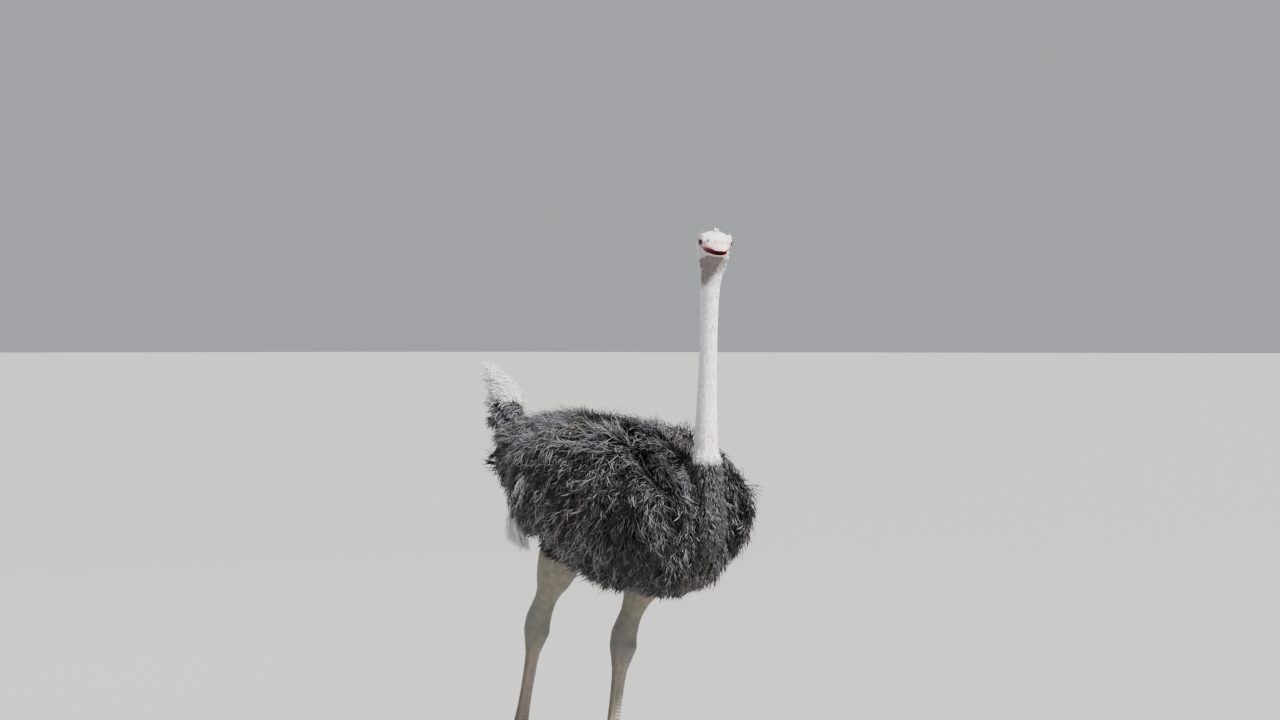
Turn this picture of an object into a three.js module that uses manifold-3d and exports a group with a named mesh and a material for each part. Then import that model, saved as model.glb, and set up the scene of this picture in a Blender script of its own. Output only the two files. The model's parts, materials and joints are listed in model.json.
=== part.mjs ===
// A male ostrich, life size, standing with its left foot forward and its head turned to its right.
// Millimetres, +Z up. The bird faces -Y, its left side is +X, and the origin is on the floor under its middle.
import * as THREE from "three";
import { mergeVertices } from "three/addons/utils/BufferGeometryUtils.js";
import Module from "manifold-3d";

const wasm = await Module();
wasm.setup();

// ---------------------------------------------------------------- driving dimensions
const GAP = 0.5; // left between touching pieces
const SHIFT = { x: 0, y: -20 }; // centres the bird's box on the origin

const TRUNK = { noseY: -505, noseZ: 890, rumpY: 548, rumpZ: 1225, halfWidth: 285 };
const WING = {
  shoulderY: -535, shoulderZ: 1040, tipY: 352, tipZ: 1110, inset: 258, halfThickness: 118,
  hug: 7e-4, // how strongly its upper and lower edges bend in to the body
};
const NECK = { footY: -330, footZ: 862, topZ: 2010, cuts: [1228, 1480, 1740] };
const HEAD = { x: -31, y: -548, z: 2043, yaw: -41.5, pitch: 3, roll: 3.4 }; // between the eyes; degrees
const BILL = { hinge: [0, -6, -26], opening: 8 }; // the lower bill's hinge in the head's frame; degrees
const EYE = { radius: 24, x: 39, y: -8, z: 2 };
const LEGS = {
  left: {
    side: 1, knee: [140, -170, 1050], ankle: [80, -4, 508], toeJoint: [32, 28, 66], yaw: 4, toeYaw: -12,
  },
  right: {
    side: -1, knee: [-150, 20, 1075], ankle: [-110, 280, 566], toeJoint: [-78, 405, 132], yaw: -12, toeYaw: -6,
  },
};
const FLAT_FOOT = 66; // height of the toe joint over a foot that lies flat
const SOLE_PAD = 1.35; // depth of a toe's pad under its path, as a share of its depth over it
const NECK_DEPTH = 1.05; // front to back, as a share of the neck's width

// ---------------------------------------------------------------- helpers
const v3 = (x, y, z) => new THREE.Vector3(x, y, z);
const ACROSS = v3(1, 0, 0);
const none = () => 0;

// A smooth function through [position, value] pairs.
function through(...pairs) {
  const slope = (i) => {
    const a = pairs[Math.max(i - 1, 0)];
    const b = pairs[Math.min(i + 1, pairs.length - 1)];
    return (b[1] - a[1]) / (b[0] - a[0]);
  };
  return (t) => {
    let i = 0;
    while (i < pairs.length - 2 && t > pairs[i + 1][0]) i += 1;
    const [t0, a] = pairs[i];
    const [t1, b] = pairs[i + 1];
    const span = t1 - t0;
    const u = THREE.MathUtils.clamp((t - t0) / span, 0, 1);
    const leave = slope(i) * span * u * (1 - u) ** 2;
    const arrive = slope(i + 1) * span * u * u * (u - 1);
    return a + (b - a) * u * u * (3 - 2 * u) + leave + arrive;
  };
}

// A curve through points given as [x, y, z], or as [y, z] in the bird's middle plane.
function line(...points) {
  const full = points.map((p) => (p.length === 2 ? v3(0, p[0], p[1]) : v3(...p)));
  return new THREE.CatmullRomCurve3(full, false, "centripetal");
}

// Rings of equal size, closed by a point at each end.
function skinned(rings, first, last) {
  const sides = rings[0].length;
  const points = [...rings.flat(), first, last];
  const index = [];
  const head = rings.length * sides;
  const end = head - sides;
  for (let j = 0; j < sides; j += 1) {
    const k = (j + 1) % sides;
    for (let p = 0; p < end; p += sides) {
      index.push(p + j, p + sides + j, p + sides + k, p + j, p + sides + k, p + k);
    }
    index.push(head, j, k, head + 1, end + k, end + j);
  }
  return new THREE.BufferGeometry().setFromPoints(points).setIndex(index);
}

// Steps from 0 to 1 that crowd towards both ends, so that round ends stay round.
const crowded = (i, steps) => 0.5 - 0.5 * Math.cos((Math.PI * i) / steps);

// A body between two edge lines that start and end together. Each section is a superellipse from `top` to
// `bottom`, `half` wide to each side, moved sideways by `lateral`, widest at the share `belly` of its depth.
// `hug` bends the section's edges sideways, by that times the square of the distance from its middle.
function loft({
  top, bottom, half, lateral = none, belly = 0.5, square = 2, hug = 0, stations = 20, sides = 20,
}) {
  const power = 2 / square;
  const rings = [];
  for (let i = 1; i < stations; i += 1) {
    const t = crowded(i, stations);
    const a = top.getPoint(t);
    const b = bottom.getPoint(t);
    const middle = a.clone().lerp(b, belly).addScaledVector(ACROSS, lateral(t));
    const up = a.sub(b);
    const depth = up.length();
    const ring = [];
    for (let j = 0; j < sides; j += 1) {
      const angle = (2 * Math.PI * j) / sides;
      const c = Math.cos(angle);
      const s = Math.sin(angle);
      const out = Math.sign(c) * Math.abs(c) ** power * half(t);
      const rise = Math.abs(s) ** power * (s > 0 ? belly : belly - 1);
      const bend = hug * (rise * depth) ** 2;
      ring.push(middle.clone().addScaledVector(ACROSS, out + bend).addScaledVector(up, rise));
    }
    rings.push(ring);
  }
  const first = top.getPoint(0).addScaledVector(ACROSS, lateral(0));
  const last = top.getPoint(1).addScaledVector(ACROSS, lateral(1));
  return skinned(rings, first, last);
}

// A limb along a path: `front`, `back` and `half` give its reach forwards, backwards and to each side,
// as functions of the share of the path's length, and `fore` is the way that it faces.
function limb({ path, front, back = front, half, fore, steps = 24, sides = 16 }) {
  const rings = [];
  for (let i = 0; i <= steps; i += 1) {
    const t = i / steps;
    const middle = path.getPointAt(t);
    const tangent = path.getTangentAt(t);
    const side = fore.clone().cross(tangent).normalize();
    const ahead = tangent.clone().cross(side).normalize();
    const ring = [];
    for (let j = 0; j < sides; j += 1) {
      const angle = (2 * Math.PI * j) / sides;
      const s = Math.sin(angle);
      const reach = s > 0 ? front(t) : back(t);
      const p = middle.clone().addScaledVector(side, Math.cos(angle) * half(t));
      ring.push(p.addScaledVector(ahead, s * reach));
    }
    rings.push(ring);
  }
  return skinned(rings, path.getPoint(0), path.getPoint(1));
}

// A three.js geometry as a manifold-3d solid, whichever way its faces are wound.
function solid(geometry) {
  const bare = new THREE.BufferGeometry().setAttribute("position", geometry.getAttribute("position").clone());
  if (geometry.index) bare.setIndex(geometry.index.clone());
  const merged = mergeVertices(bare, 1e-3);
  const vertProperties = new Float32Array(merged.getAttribute("position").array);
  const triVerts = new Uint32Array(merged.index.array);
  const made = () => new wasm.Manifold(new wasm.Mesh({ numProp: 3, vertProperties, triVerts }));
  if (made().volume() > 0) return made();
  for (let i = 0; i < triVerts.length; i += 3) [triVerts[i], triVerts[i + 1]] = [triVerts[i + 1], triVerts[i]];
  return made();
}

// The solid as a three.js geometry.
function geometryOf(made) {
  const { vertProperties, triVerts, numProp } = made.getMesh();
  const positions = [];
  for (let i = 0; i < vertProperties.length; i += numProp) positions.push(...vertProperties.slice(i, i + 3));
  const geometry = new THREE.BufferGeometry();
  geometry.setAttribute("position", new THREE.Float32BufferAttribute(positions, 3));
  geometry.setIndex([...triVerts]);
  geometry.computeVertexNormals();
  return geometry;
}

// The same solid with every face moved out by the gap: what its neighbour is cut with.
function cutter(made) {
  const geometry = geometryOf(made);
  const position = geometry.getAttribute("position");
  const normal = geometry.getAttribute("normal");
  const index = geometry.getIndex().array;
  const corner = (i) => v3().fromBufferAttribute(position, i);
  const outward = (i) => v3().fromBufferAttribute(normal, i);
  const share = new Array(position.count).fill(1); // of a corner's own move that its flattest face gets
  const face = new THREE.Triangle();
  for (let f = 0; f < index.length; f += 3) {
    const corners = [...index.slice(f, f + 3)];
    const facing = face.set(...corners.map(corner)).getNormal(v3());
    for (const i of corners) share[i] = Math.min(share[i], facing.dot(outward(i)));
  }
  share.forEach((least, i) => {
    const p = corner(i).addScaledVector(outward(i), GAP / Math.max(least, 0.4));
    position.setXYZ(i, p.x, p.y, p.z);
  });
  return solid(geometry);
}

const less = (made, ...others) => others.reduce((rest, other) => rest.subtract(cutter(other)), made);

const FAR = 3000;
const block = (low, high) => {
  const size = high.clone().sub(low);
  const middle = low.clone().add(high).multiplyScalar(0.5);
  return solid(new THREE.BoxGeometry(size.x, size.y, size.z).translate(middle.x, middle.y, middle.z));
};
const slab = (z0, z1) => block(v3(-FAR, -FAR, z0), v3(FAR, FAR, z1));

// The largest separate body of a solid, without the slivers that a cut leaves.
const main = (made) => made.decompose().reduce((a, b) => (a.volume() > b.volume() ? a : b));

// ---------------------------------------------------------------- materials
const finish = (color, roughness) => new THREE.MeshStandardMaterial({ color, roughness, metalness: 0 });
const MATERIALS = {
  blackPlumage: finish(0x232225, 0.9),
  whitePlumes: finish(0xd8d7d6, 0.9),
  neckSkin: finish(0xc9c5c6, 0.7),
  headSkin: finish(0xcdc4c2, 0.7),
  billHorn: finish(0xc98b86, 0.5),
  eyeball: finish(0x2a1a14, 0.1),
  legSkin: finish(0x9a907e, 0.65),
  clawHorn: finish(0x4f463c, 0.5),
};

// ---------------------------------------------------------------- trunk
// From the front of the breast over the back to the rump, and back under the belly.
function trunkShape() {
  const { noseY, noseZ, rumpY, rumpZ, halfWidth } = TRUNK;
  return solid(loft({
    top: line([noseY, noseZ], [-508, 1000], [-488, 1115], [-446, 1212], [-375, 1290], [-250, 1352],
      [-80, 1402], [120, 1418], [320, 1400], [450, 1368], [528, 1310], [rumpY, rumpZ]),
    bottom: line([noseY, noseZ], [-495, 800], [-458, 732], [-396, 695], [-300, 683], [-170, 700],
      [-30, 745], [110, 812], [250, 885], [380, 985], [490, 1110], [rumpY, rumpZ]),
    half: through([0, 0], [0.04, 88], [0.12, 172], [0.22, 240], [0.36, halfWidth], [0.55, halfWidth],
      [0.72, 250], [0.86, 172], [0.96, 85], [1, 0]),
    belly: 0.52,
    square: 2.15,
    stations: 18,
    sides: 18,
  }));
}

// ---------------------------------------------------------------- wings
// A loosely folded wing: a thick pad of plumes from the shoulder back over the thigh.
function wingShape(side) {
  const { shoulderY, shoulderZ, tipY, tipZ, inset, halfThickness, hug } = WING;
  return solid(loft({
    top: line([shoulderY, shoulderZ], [-525, 1135], [-470, 1238], [-365, 1316], [-190, 1370], [10, 1384],
      [180, 1350], [285, 1280], [335, 1195], [tipY, tipZ]),
    bottom: line([shoulderY, shoulderZ], [-510, 930], [-430, 815], [-320, 738], [-190, 712], [-60, 768],
      [60, 850], [190, 895], [295, 975], [tipY, tipZ]),
    half: through([0, 0], [0.04, 62], [0.15, 108], [0.35, halfThickness], [0.6, halfThickness],
      [0.82, 92], [0.95, 48], [1, 0]),
    lateral: through([0, side * 175], [0.2, side * 232], [0.45, side * inset], [0.7, side * 245],
      [1, side * 190]),
    belly: 0.55,
    square: 2.1,
    hug: -side * hug,
    stations: 14,
    sides: 16,
  }));
}

// The white primaries that hang from under the end of each folded wing.
function plumeShape(side) {
  return solid(loft({
    top: line([225, 1120], [275, 1112], [318, 1062], [328, 985], [302, 915], [242, 872]),
    bottom: line([225, 1120], [205, 1080], [196, 1020], [198, 955], [212, 900], [242, 872]),
    half: through([0, 0], [0.1, 26], [0.5, 40], [0.9, 24], [1, 0]),
    lateral: () => side * 250,
    stations: 10,
    sides: 10,
  }));
}

// ---------------------------------------------------------------- tail
// An upright tuft: white plumes at its tip, dark ones that droop below them.
function tailShape() {
  return solid(loft({
    top: line([420, 1310], [470, 1390], [525, 1446], [580, 1510], [636, 1554], [686, 1580]),
    bottom: line([420, 1310], [480, 1150], [566, 1165], [612, 1262], [622, 1370], [640, 1450], [656, 1520],
      [686, 1580]),
    half: through([0, 0], [0.15, 70], [0.4, 82], [0.6, 62], [0.8, 36], [0.94, 16], [1, 0]),
    belly: 0.45,
    stations: 14,
    sides: 14,
  }));
}

// ---------------------------------------------------------------- neck
// One tube from the crop, which stands out before the breast, to the back of the head.
function neckShape() {
  const path = line([0, NECK.footY, NECK.footZ], [0, -412, 872], [0, -468, 930], [0, -492, 1040],
    [0, -488, 1150], [0, -480, 1260], [0, -482, 1400], [0, -488, 1560], [0, -493, 1740], [-2, -500, 1880],
    [-6, -511, 1955], [-9, -520, NECK.topZ]);
  const byHeight = through([862, 72], [875, 86], [930, 92], [1040, 85], [1150, 66], [1228, 50], [1340, 44],
    [1460, 39], [1600, 35.5], [1760, 35], [1870, 38], [1930, 44], [1970, 50], [2010, 52]);
  const radius = (t) => byHeight(path.getPointAt(t).z);
  const depth = (t) => radius(t) * NECK_DEPTH;
  return solid(limb({ path, front: depth, half: radius, fore: v3(0, -1, 0), steps: 20, sides: 12 }));
}

// ---------------------------------------------------------------- head, in its own frame
// The skull with its skin, from the root of the bill to the nape.
function skullShape() {
  return solid(loft({
    top: line([-64, -12], [-52, 10], [-30, 28], [-5, 42], [22, 46], [48, 35], [66, 10], [70, -14]),
    bottom: line([-64, -12], [-52, -30], [-25, -44], [5, -52], [32, -52], [54, -44], [66, -30], [70, -14]),
    half: through([0, 0], [0.12, 36], [0.28, 49], [0.45, 55], [0.6, 57], [0.78, 50], [0.93, 29], [1, 0]),
    belly: 0.42,
    square: 2.1,
    stations: 13,
    sides: 14,
  }));
}

function upperBillShape() {
  return solid(loft({
    top: line([-12, -6], [-28, 11], [-52, 13], [-80, 4], [-103, -7], [-115, -16], [-119, -26]),
    bottom: line([-12, -6], [-22, -20], [-50, -21], [-80, -22], [-103, -24], [-115, -27], [-119, -26]),
    half: through([0, 0], [0.15, 41], [0.33, 46], [0.5, 37], [0.67, 28], [0.84, 19], [0.94, 10], [1, 0]),
    belly: 0.82,
    stations: 11,
    sides: 12,
  }));
}

// The lower bill is drawn closed and then swung open about its hinge.
function lowerBillShape() {
  const closed = loft({
    top: line([-6, -26], [-28, -23], [-60, -24], [-92, -26], [-107, -29], [-112, -32]),
    bottom: line([-6, -26], [-22, -40], [-58, -42], [-90, -39], [-105, -36], [-112, -32]),
    half: through([0, 0], [0.18, 42], [0.4, 41], [0.62, 31], [0.84, 19], [0.95, 9], [1, 0]),
    belly: 0.25,
    stations: 9,
    sides: 12,
  });
  const [x, y, z] = BILL.hinge;
  closed.translate(-x, -y, -z).rotateX(THREE.MathUtils.degToRad(BILL.opening)).translate(x, y, z);
  return solid(closed);
}

const eyeShape = (side) =>
  solid(new THREE.SphereGeometry(EYE.radius, 12, 8).rotateZ(Math.PI / 2).translate(side * EYE.x, EYE.y, EYE.z));

// ---------------------------------------------------------------- legs
// A leg from the knee, which the plumage hides, over the ankle to the toe joint.
function legShape({ knee, ankle, toeJoint, yaw }) {
  const [k, a, m] = [knee, ankle, toeJoint].map((p) => v3(...p));
  const path = new THREE.CatmullRomCurve3(
    [k, k.clone().lerp(a, 0.5), k.clone().lerp(a, 0.88), a, a.clone().lerp(m, 0.14), a.clone().lerp(m, 0.55), m],
    false, "centripetal");
  const upper = k.distanceTo(a);
  const lower = a.distanceTo(m);
  // The profiles are stated by the distance above the ankle joint.
  const byAnkle = (profile) => (t) => profile(upper - t * path.getLength());
  const fore = v3(0, -1, 0).applyAxisAngle(v3(0, 0, 1), THREE.MathUtils.degToRad(yaw));
  return solid(limb({
    path,
    fore,
    front: byAnkle(through([-lower, 30], [-400, 27], [-300, 24], [-155, 26], [-110, 30], [-85, 38], [-60, 52],
      [-30, 60], [20, 48], [60, 41], [100, 40], [150, 52], [200, 74], [300, 100], [400, 105], [520, 85])),
    back: byAnkle(through([-lower, 32], [-400, 29], [-300, 27], [-200, 29], [-155, 31], [-110, 36], [-80, 43],
      [-50, 51], [-10, 58], [30, 60], [60, 54], [100, 46], [150, 48], [200, 62], [300, 85], [400, 85],
      [520, 60])),
    half: byAnkle(through([-lower, 34], [-400, 27], [-300, 22], [-160, 24], [-120, 28], [-90, 34], [-60, 43],
      [-30, 48], [0, 46], [50, 43], [100, 41], [150, 48], [200, 65], [300, 85], [400, 85], [520, 60])),
    steps: 22,
    sides: 12,
  }));
}

// ---------------------------------------------------------------- feet, in their own frames
// A toe along a path on the floor: `depth` thick over it, and deeper under it, where the sole is pressed flat.
function toeShape({ path, depth, width, steps = 9 }) {
  const pad = (t) => SOLE_PAD * depth(t);
  const toe = limb({ path, front: depth, back: pad, half: width, fore: v3(0, 0, 1), steps, sides: 9 });
  return solid(toe).intersect(slab(0, FAR));
}

// `lift` is the height of the toe joint. A raised joint bends the toe up at its root and leaves its end flat.
function bigToeShape(lift) {
  const raised = lift - FLAT_FOOT;
  return toeShape({
    path: line([0, 6, lift + 4], [0, -18 - raised * 0.12, 42 + raised * 0.6], [0, -56 - raised * 0.2, 27 + raised * 0.1],
      [0, -100, 22], [0, -145, 20], [0, -176, 17]),
    depth: through([0, 30], [0.25, 30], [0.5, 26], [0.75, 24], [0.92, 18], [1, 9]),
    width: through([0, 30], [0.2, 33], [0.45, 30], [0.75, 28], [0.92, 21], [1, 10]),
  });
}

function smallToeShape(lift, side) {
  const raised = lift - FLAT_FOOT;
  return toeShape({
    path: line([side * 10, 4, lift - 8], [side * 27, -20 - raised * 0.12, 34 + raised * 0.5],
      [side * 43, -54 - raised * 0.1, 21 + raised * 0.06], [side * 57, -92, 16], [side * 64, -118, 13]),
    depth: through([0, 22], [0.3, 24], [0.6, 21], [0.9, 15], [1, 6]),
    width: through([0, 22], [0.3, 23], [0.6, 21], [0.9, 16], [1, 6]),
  });
}

function clawShape() {
  return toeShape({
    path: line([0, -152, 21], [0, -182, 17], [0, -207, 10], [0, -226, 4]),
    depth: through([0, 9], [0.35, 14], [0.7, 10], [1, 3]),
    width: through([0, 10], [0.35, 14], [0.7, 10], [1, 3]),
    steps: 6,
  });
}

// ---------------------------------------------------------------- assembly
const bird = new THREE.Group();
bird.position.set(SHIFT.x, SHIFT.y, 0);

function node(name, made, material, parent = bird) {
  const mesh = new THREE.Mesh(geometryOf(main(made)), material);
  mesh.name = name;
  parent.add(mesh);
}

const headGroup = new THREE.Group();
headGroup.position.set(HEAD.x, HEAD.y, HEAD.z);
const turned = [HEAD.pitch, HEAD.roll, HEAD.yaw].map(THREE.MathUtils.degToRad);
headGroup.rotation.set(...turned, "ZXY");
headGroup.updateMatrix();
bird.add(headGroup);

const skull = skullShape();
const eyes = { left: eyeShape(1), right: eyeShape(-1) };
const upperBill = less(upperBillShape(), eyes.left, eyes.right);
const lowerBill = less(lowerBillShape(), upperBill, eyes.left, eyes.right);
node("head", less(skull, upperBill, lowerBill, eyes.left, eyes.right), MATERIALS.headSkin, headGroup);
node("bill_upper", upperBill, MATERIALS.billHorn, headGroup);
node("bill_lower", lowerBill, MATERIALS.billHorn, headGroup);
node("eye_left", eyes.left, MATERIALS.eyeball, headGroup);
node("eye_right", eyes.right, MATERIALS.eyeball, headGroup);

const tail = tailShape();
const wings = { left: wingShape(1), right: wingShape(-1) };
const plumes = { left: less(plumeShape(1), wings.left), right: less(plumeShape(-1), wings.right) };
const neck = neckShape();
const legs = { left: legShape(LEGS.left), right: legShape(LEGS.right) };
const inner = Object.values(wings).concat(Object.values(plumes), tail, neck, Object.values(legs));
const trunk = less(trunkShape(), ...inner);
node("trunk", trunk, MATERIALS.blackPlumage);

const headParts = [skull, lowerBillShape()].map((part) => part.transform(headGroup.matrix.elements));
const wholeNeck = less(neck, wings.left, wings.right, ...headParts);
const neckEdges = [0, ...NECK.cuts, FAR];
["neck_base", "neck_lower", "neck_middle", "neck_upper"].forEach((name, i) => {
  const length = wholeNeck.intersect(slab(neckEdges[i] + GAP / 2, neckEdges[i + 1] - GAP / 2));
  node(name, length, i === 0 ? MATERIALS.blackPlumage : MATERIALS.neckSkin);
});
node("tail", tail, MATERIALS.whitePlumes);

for (const side of ["left", "right"]) {
  const { side: sign, ankle, toeJoint, toeYaw } = LEGS[side];
  node(`wing_${side}`, less(wings[side], legs[side]), MATERIALS.blackPlumage);
  node(`wing_plumes_${side}`, less(plumes[side], legs[side]), MATERIALS.whitePlumes);
  const foot = new THREE.Group();
  foot.position.set(toeJoint[0], toeJoint[1], 0);
  foot.rotation.z = THREE.MathUtils.degToRad(toeYaw);
  foot.updateMatrix();
  bird.add(foot);
  const lift = toeJoint[2];
  const bigToe = bigToeShape(lift);
  const claw = clawShape();
  const smallToe = smallToeShape(lift, sign);
  node(`claw_${side}`, claw, MATERIALS.clawHorn, foot);
  node(`toe_big_${side}`, less(bigToe, claw), MATERIALS.legSkin, foot);
  node(`toe_small_${side}`, less(smallToe, bigToe), MATERIALS.legSkin, foot);
  const toes = [bigToe, smallToe].map((toe) => toe.transform(foot.matrix.elements));
  const leg = less(legs[side], ...toes);
  node(`thigh_${side}`, leg.intersect(slab(ankle[2] + GAP / 2, FAR)), MATERIALS.legSkin);
  node(`shank_${side}`, leg.intersect(slab(0, ankle[2] - GAP / 2)), MATERIALS.legSkin);
}

export default bird;
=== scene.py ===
# %% [markdown]
# # A male ostrich, life size
# The CAD model gives the true outline of the bird, out to the tips of its plumes. This lesson dresses it:
# one skin under the plumage, a head with lids and a gaping bill, scaly legs, and a coat of loose plumes
# made as thin solid tufts. Everything is in metres. The bird faces -Y, its left side is +X, and the floor
# is at z = 0.

# %% The frame
import json
import math

import bmesh
import bpy
import numpy as np
from mathutils import Matrix, Vector
from mathutils.bvhtree import BVHTree
from mathutils.kdtree import KDTree

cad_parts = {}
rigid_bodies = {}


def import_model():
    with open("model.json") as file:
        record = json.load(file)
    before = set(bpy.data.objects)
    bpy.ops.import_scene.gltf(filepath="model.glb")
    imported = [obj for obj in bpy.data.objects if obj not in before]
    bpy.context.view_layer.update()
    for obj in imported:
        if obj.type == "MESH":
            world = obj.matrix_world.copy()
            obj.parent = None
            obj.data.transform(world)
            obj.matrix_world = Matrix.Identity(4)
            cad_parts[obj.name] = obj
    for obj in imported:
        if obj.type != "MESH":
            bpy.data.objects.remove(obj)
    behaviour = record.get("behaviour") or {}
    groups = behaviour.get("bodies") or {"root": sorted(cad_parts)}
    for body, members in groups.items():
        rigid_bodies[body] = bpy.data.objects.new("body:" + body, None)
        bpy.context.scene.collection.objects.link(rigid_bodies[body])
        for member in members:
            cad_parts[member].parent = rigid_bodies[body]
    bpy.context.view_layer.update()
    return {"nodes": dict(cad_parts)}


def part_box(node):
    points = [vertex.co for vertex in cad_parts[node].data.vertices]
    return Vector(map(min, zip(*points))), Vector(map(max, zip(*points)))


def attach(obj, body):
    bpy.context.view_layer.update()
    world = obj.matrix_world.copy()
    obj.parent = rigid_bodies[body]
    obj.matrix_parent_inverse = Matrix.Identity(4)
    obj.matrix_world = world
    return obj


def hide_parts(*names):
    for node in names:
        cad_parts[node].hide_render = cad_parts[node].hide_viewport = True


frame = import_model()
nodes = frame["nodes"]

# %% [markdown]
# ## Stage, light and camera
# A museum bird is shown on a plain floor. The key lamp is a sun made broad enough for soft shadow edges. It
# stands high in front of the bird, a little to its left, so that the head and neck throw their shadow back
# over the throat and the shoulder. A small area lamp would do too, but its light would fade from the head
# to the feet. Two weaker lamps and a pale sky open up the dark plumage.

# %% Floor and sky
def mesh_object(name, points, faces):
    mesh = bpy.data.meshes.new(name)
    mesh.from_pydata([tuple(p) for p in points], [], [tuple(f) for f in faces])
    mesh.update()
    made = bpy.data.objects.new(name, mesh)
    bpy.context.scene.collection.objects.link(made)
    return made


def plain_material(name, color, roughness):
    made = bpy.data.materials.new(name)
    made.use_nodes = True
    shader = made.node_tree.nodes["Principled BSDF"]
    shader.inputs["Base Color"].default_value = (*color, 1)
    shader.inputs["Roughness"].default_value = roughness
    return made


FLOOR_REACH = 600  # metres; far enough for a level horizon
corners = [(-FLOOR_REACH, -FLOOR_REACH, 0), (FLOOR_REACH, -FLOOR_REACH, 0),
           (FLOOR_REACH, FLOOR_REACH, 0), (-FLOOR_REACH, FLOOR_REACH, 0)]
floor = mesh_object("floor", corners, [(0, 1, 2, 3)])
PALE_FLOOR = (0.30, 0.297, 0.287)
floor.data.materials.append(plain_material("floor_paint", PALE_FLOOR, 0.8))

sky = bpy.data.worlds.new("sky")
sky.use_nodes = True
sky_light = sky.node_tree.nodes["Background"].inputs
sky_light["Color"].default_value = (0.80, 0.83, 0.88, 1)
sky_light["Strength"].default_value = 0.52
bpy.context.scene.world = sky
print("floor", 2 * FLOOR_REACH, "m wide")

# %% Lamps
LAMPS_AIM = Vector((0, 0, 1.1))  # the middle of the bird
LAMPS_AWAY = 7  # metres


def lamp(name, kind, toward, strength, color=(1, 1, 1), **settings):
    light = bpy.data.lights.new(name, kind)
    light.energy, light.color = strength, color
    for key, value in settings.items():
        setattr(light, key, value)
    made = bpy.data.objects.new(name, light)
    made.location = LAMPS_AIM + Vector(toward).normalized() * LAMPS_AWAY
    made.rotation_euler = Vector(toward).to_track_quat("Z", "Y").to_euler()
    bpy.context.scene.collection.objects.link(made)


lamp("key_lamp", "SUN", (0.10, -0.75, 0.88), 14.0, (1, 0.98, 0.95), angle=math.radians(5))
lamp("fill_lamp", "AREA", (-1, -0.35, 0.45), 30, (0.92, 0.96, 1), size=4)
lamp("back_lamp", "AREA", (0.2, 1, 0.9), 160, size=3)
print("lamps: key, fill, back")

# %% Camera
VIEW = {  # metres, degrees and millimetres
    "place": (-7.370, -6.358, 1.655), "down": 0.30, "turn": -50, "lens": 70, "sensor": 36,
}
camera = bpy.data.objects.new("camera", bpy.data.cameras.new("camera"))
camera.location = VIEW["place"]
camera.rotation_euler = (math.radians(90 - VIEW["down"]), 0, math.radians(VIEW["turn"]))
camera.data.lens = VIEW["lens"]
camera.data.sensor_width = VIEW["sensor"]
bpy.context.scene.collection.objects.link(camera)
bpy.context.scene.camera = camera
print("camera", round(camera.location.xy.length, 2), "m from the bird's middle")

# %% [markdown]
# ## Tools for shaping in numbers
# Thousands of points are moved at once as arrays. Sculpting by hand could do the same, but arrays leave a
# recipe that can be read and changed. The helpers read a mesh into arrays, build a mesh from arrays, smooth
# it, and give soft steps and slow waves that vary over the body.

# %% Arrays and meshes
def vertex_array(mesh):
    flat = np.empty(len(mesh.vertices) * 3, np.float32)
    mesh.vertices.foreach_get("co", flat)
    return flat.reshape(-1, 3).astype(float)


def normal_array(mesh):
    flat = np.empty(len(mesh.vertices) * 3, np.float32)
    mesh.vertices.foreach_get("normal", flat)
    return flat.reshape(-1, 3).astype(float)


def edge_array(mesh):
    flat = np.empty(len(mesh.edges) * 2, np.int32)
    mesh.edges.foreach_get("vertices", flat)
    return flat.reshape(-1, 2)


def triangle_array(mesh):
    mesh.calc_loop_triangles()
    flat = np.empty(len(mesh.loop_triangles) * 3, np.int32)
    mesh.loop_triangles.foreach_get("vertices", flat)
    return flat.reshape(-1, 3)


def set_vertices(mesh, points):
    mesh.vertices.foreach_set("co", np.asarray(points, np.float32).ravel())
    mesh.update()


def triangle_mesh(name, points, triangles):
    mesh = bpy.data.meshes.new(name)
    mesh.vertices.add(len(points))
    mesh.vertices.foreach_set("co", np.asarray(points, np.float32).ravel())
    mesh.loops.add(triangles.size)
    mesh.loops.foreach_set("vertex_index", np.asarray(triangles, np.int32).ravel())
    mesh.polygons.add(len(triangles))
    mesh.polygons.foreach_set("loop_start", np.arange(0, triangles.size, 3, dtype=np.int32))
    mesh.update(calc_edges=True)
    mesh.shade_smooth()
    return mesh


def point_values(mesh, name, values):
    mesh.attributes.new(name, "FLOAT", "POINT").data.foreach_set("value", np.asarray(values, np.float32))


def linked(name, mesh, *materials):
    made = bpy.data.objects.new(name, mesh)
    for each in materials:
        mesh.materials.append(each)
    bpy.context.scene.collection.objects.link(made)
    return made


print("mesh tools ready")

# %% Smoothing, steps and waves
def smoothed(values, edges, rounds, shares=(0.5,)):
    """Each value moves towards its neighbours' mean by each share in turn."""
    a, b = edges[:, 0], edges[:, 1]
    size = len(values)
    count = np.bincount(a, minlength=size) + np.bincount(b, minlength=size)
    work = values.reshape(size, -1).astype(float)
    for _ in range(rounds):
        for share in shares:
            for axis in range(work.shape[1]):
                column = work[:, axis]
                total = np.bincount(a, column[b], size) + np.bincount(b, column[a], size)
                work[:, axis] = column + share * (total / np.maximum(count, 1) - column)
    return work.reshape(values.shape)


FIRM = (0.5, -0.52)  # a step in and a step out: facets go, volume stays


def unit(v):
    return v / np.maximum(np.linalg.norm(v, axis=-1, keepdims=True), 1e-9)


def step(low, high, x):
    t = np.clip((np.asarray(x, float) - low) / (high - low), 0, 1)
    return t * t * (3 - 2 * t)


def bump(x, middle, reach):
    return np.exp(-(((np.asarray(x, float) - middle) / reach) ** 2))


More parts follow.
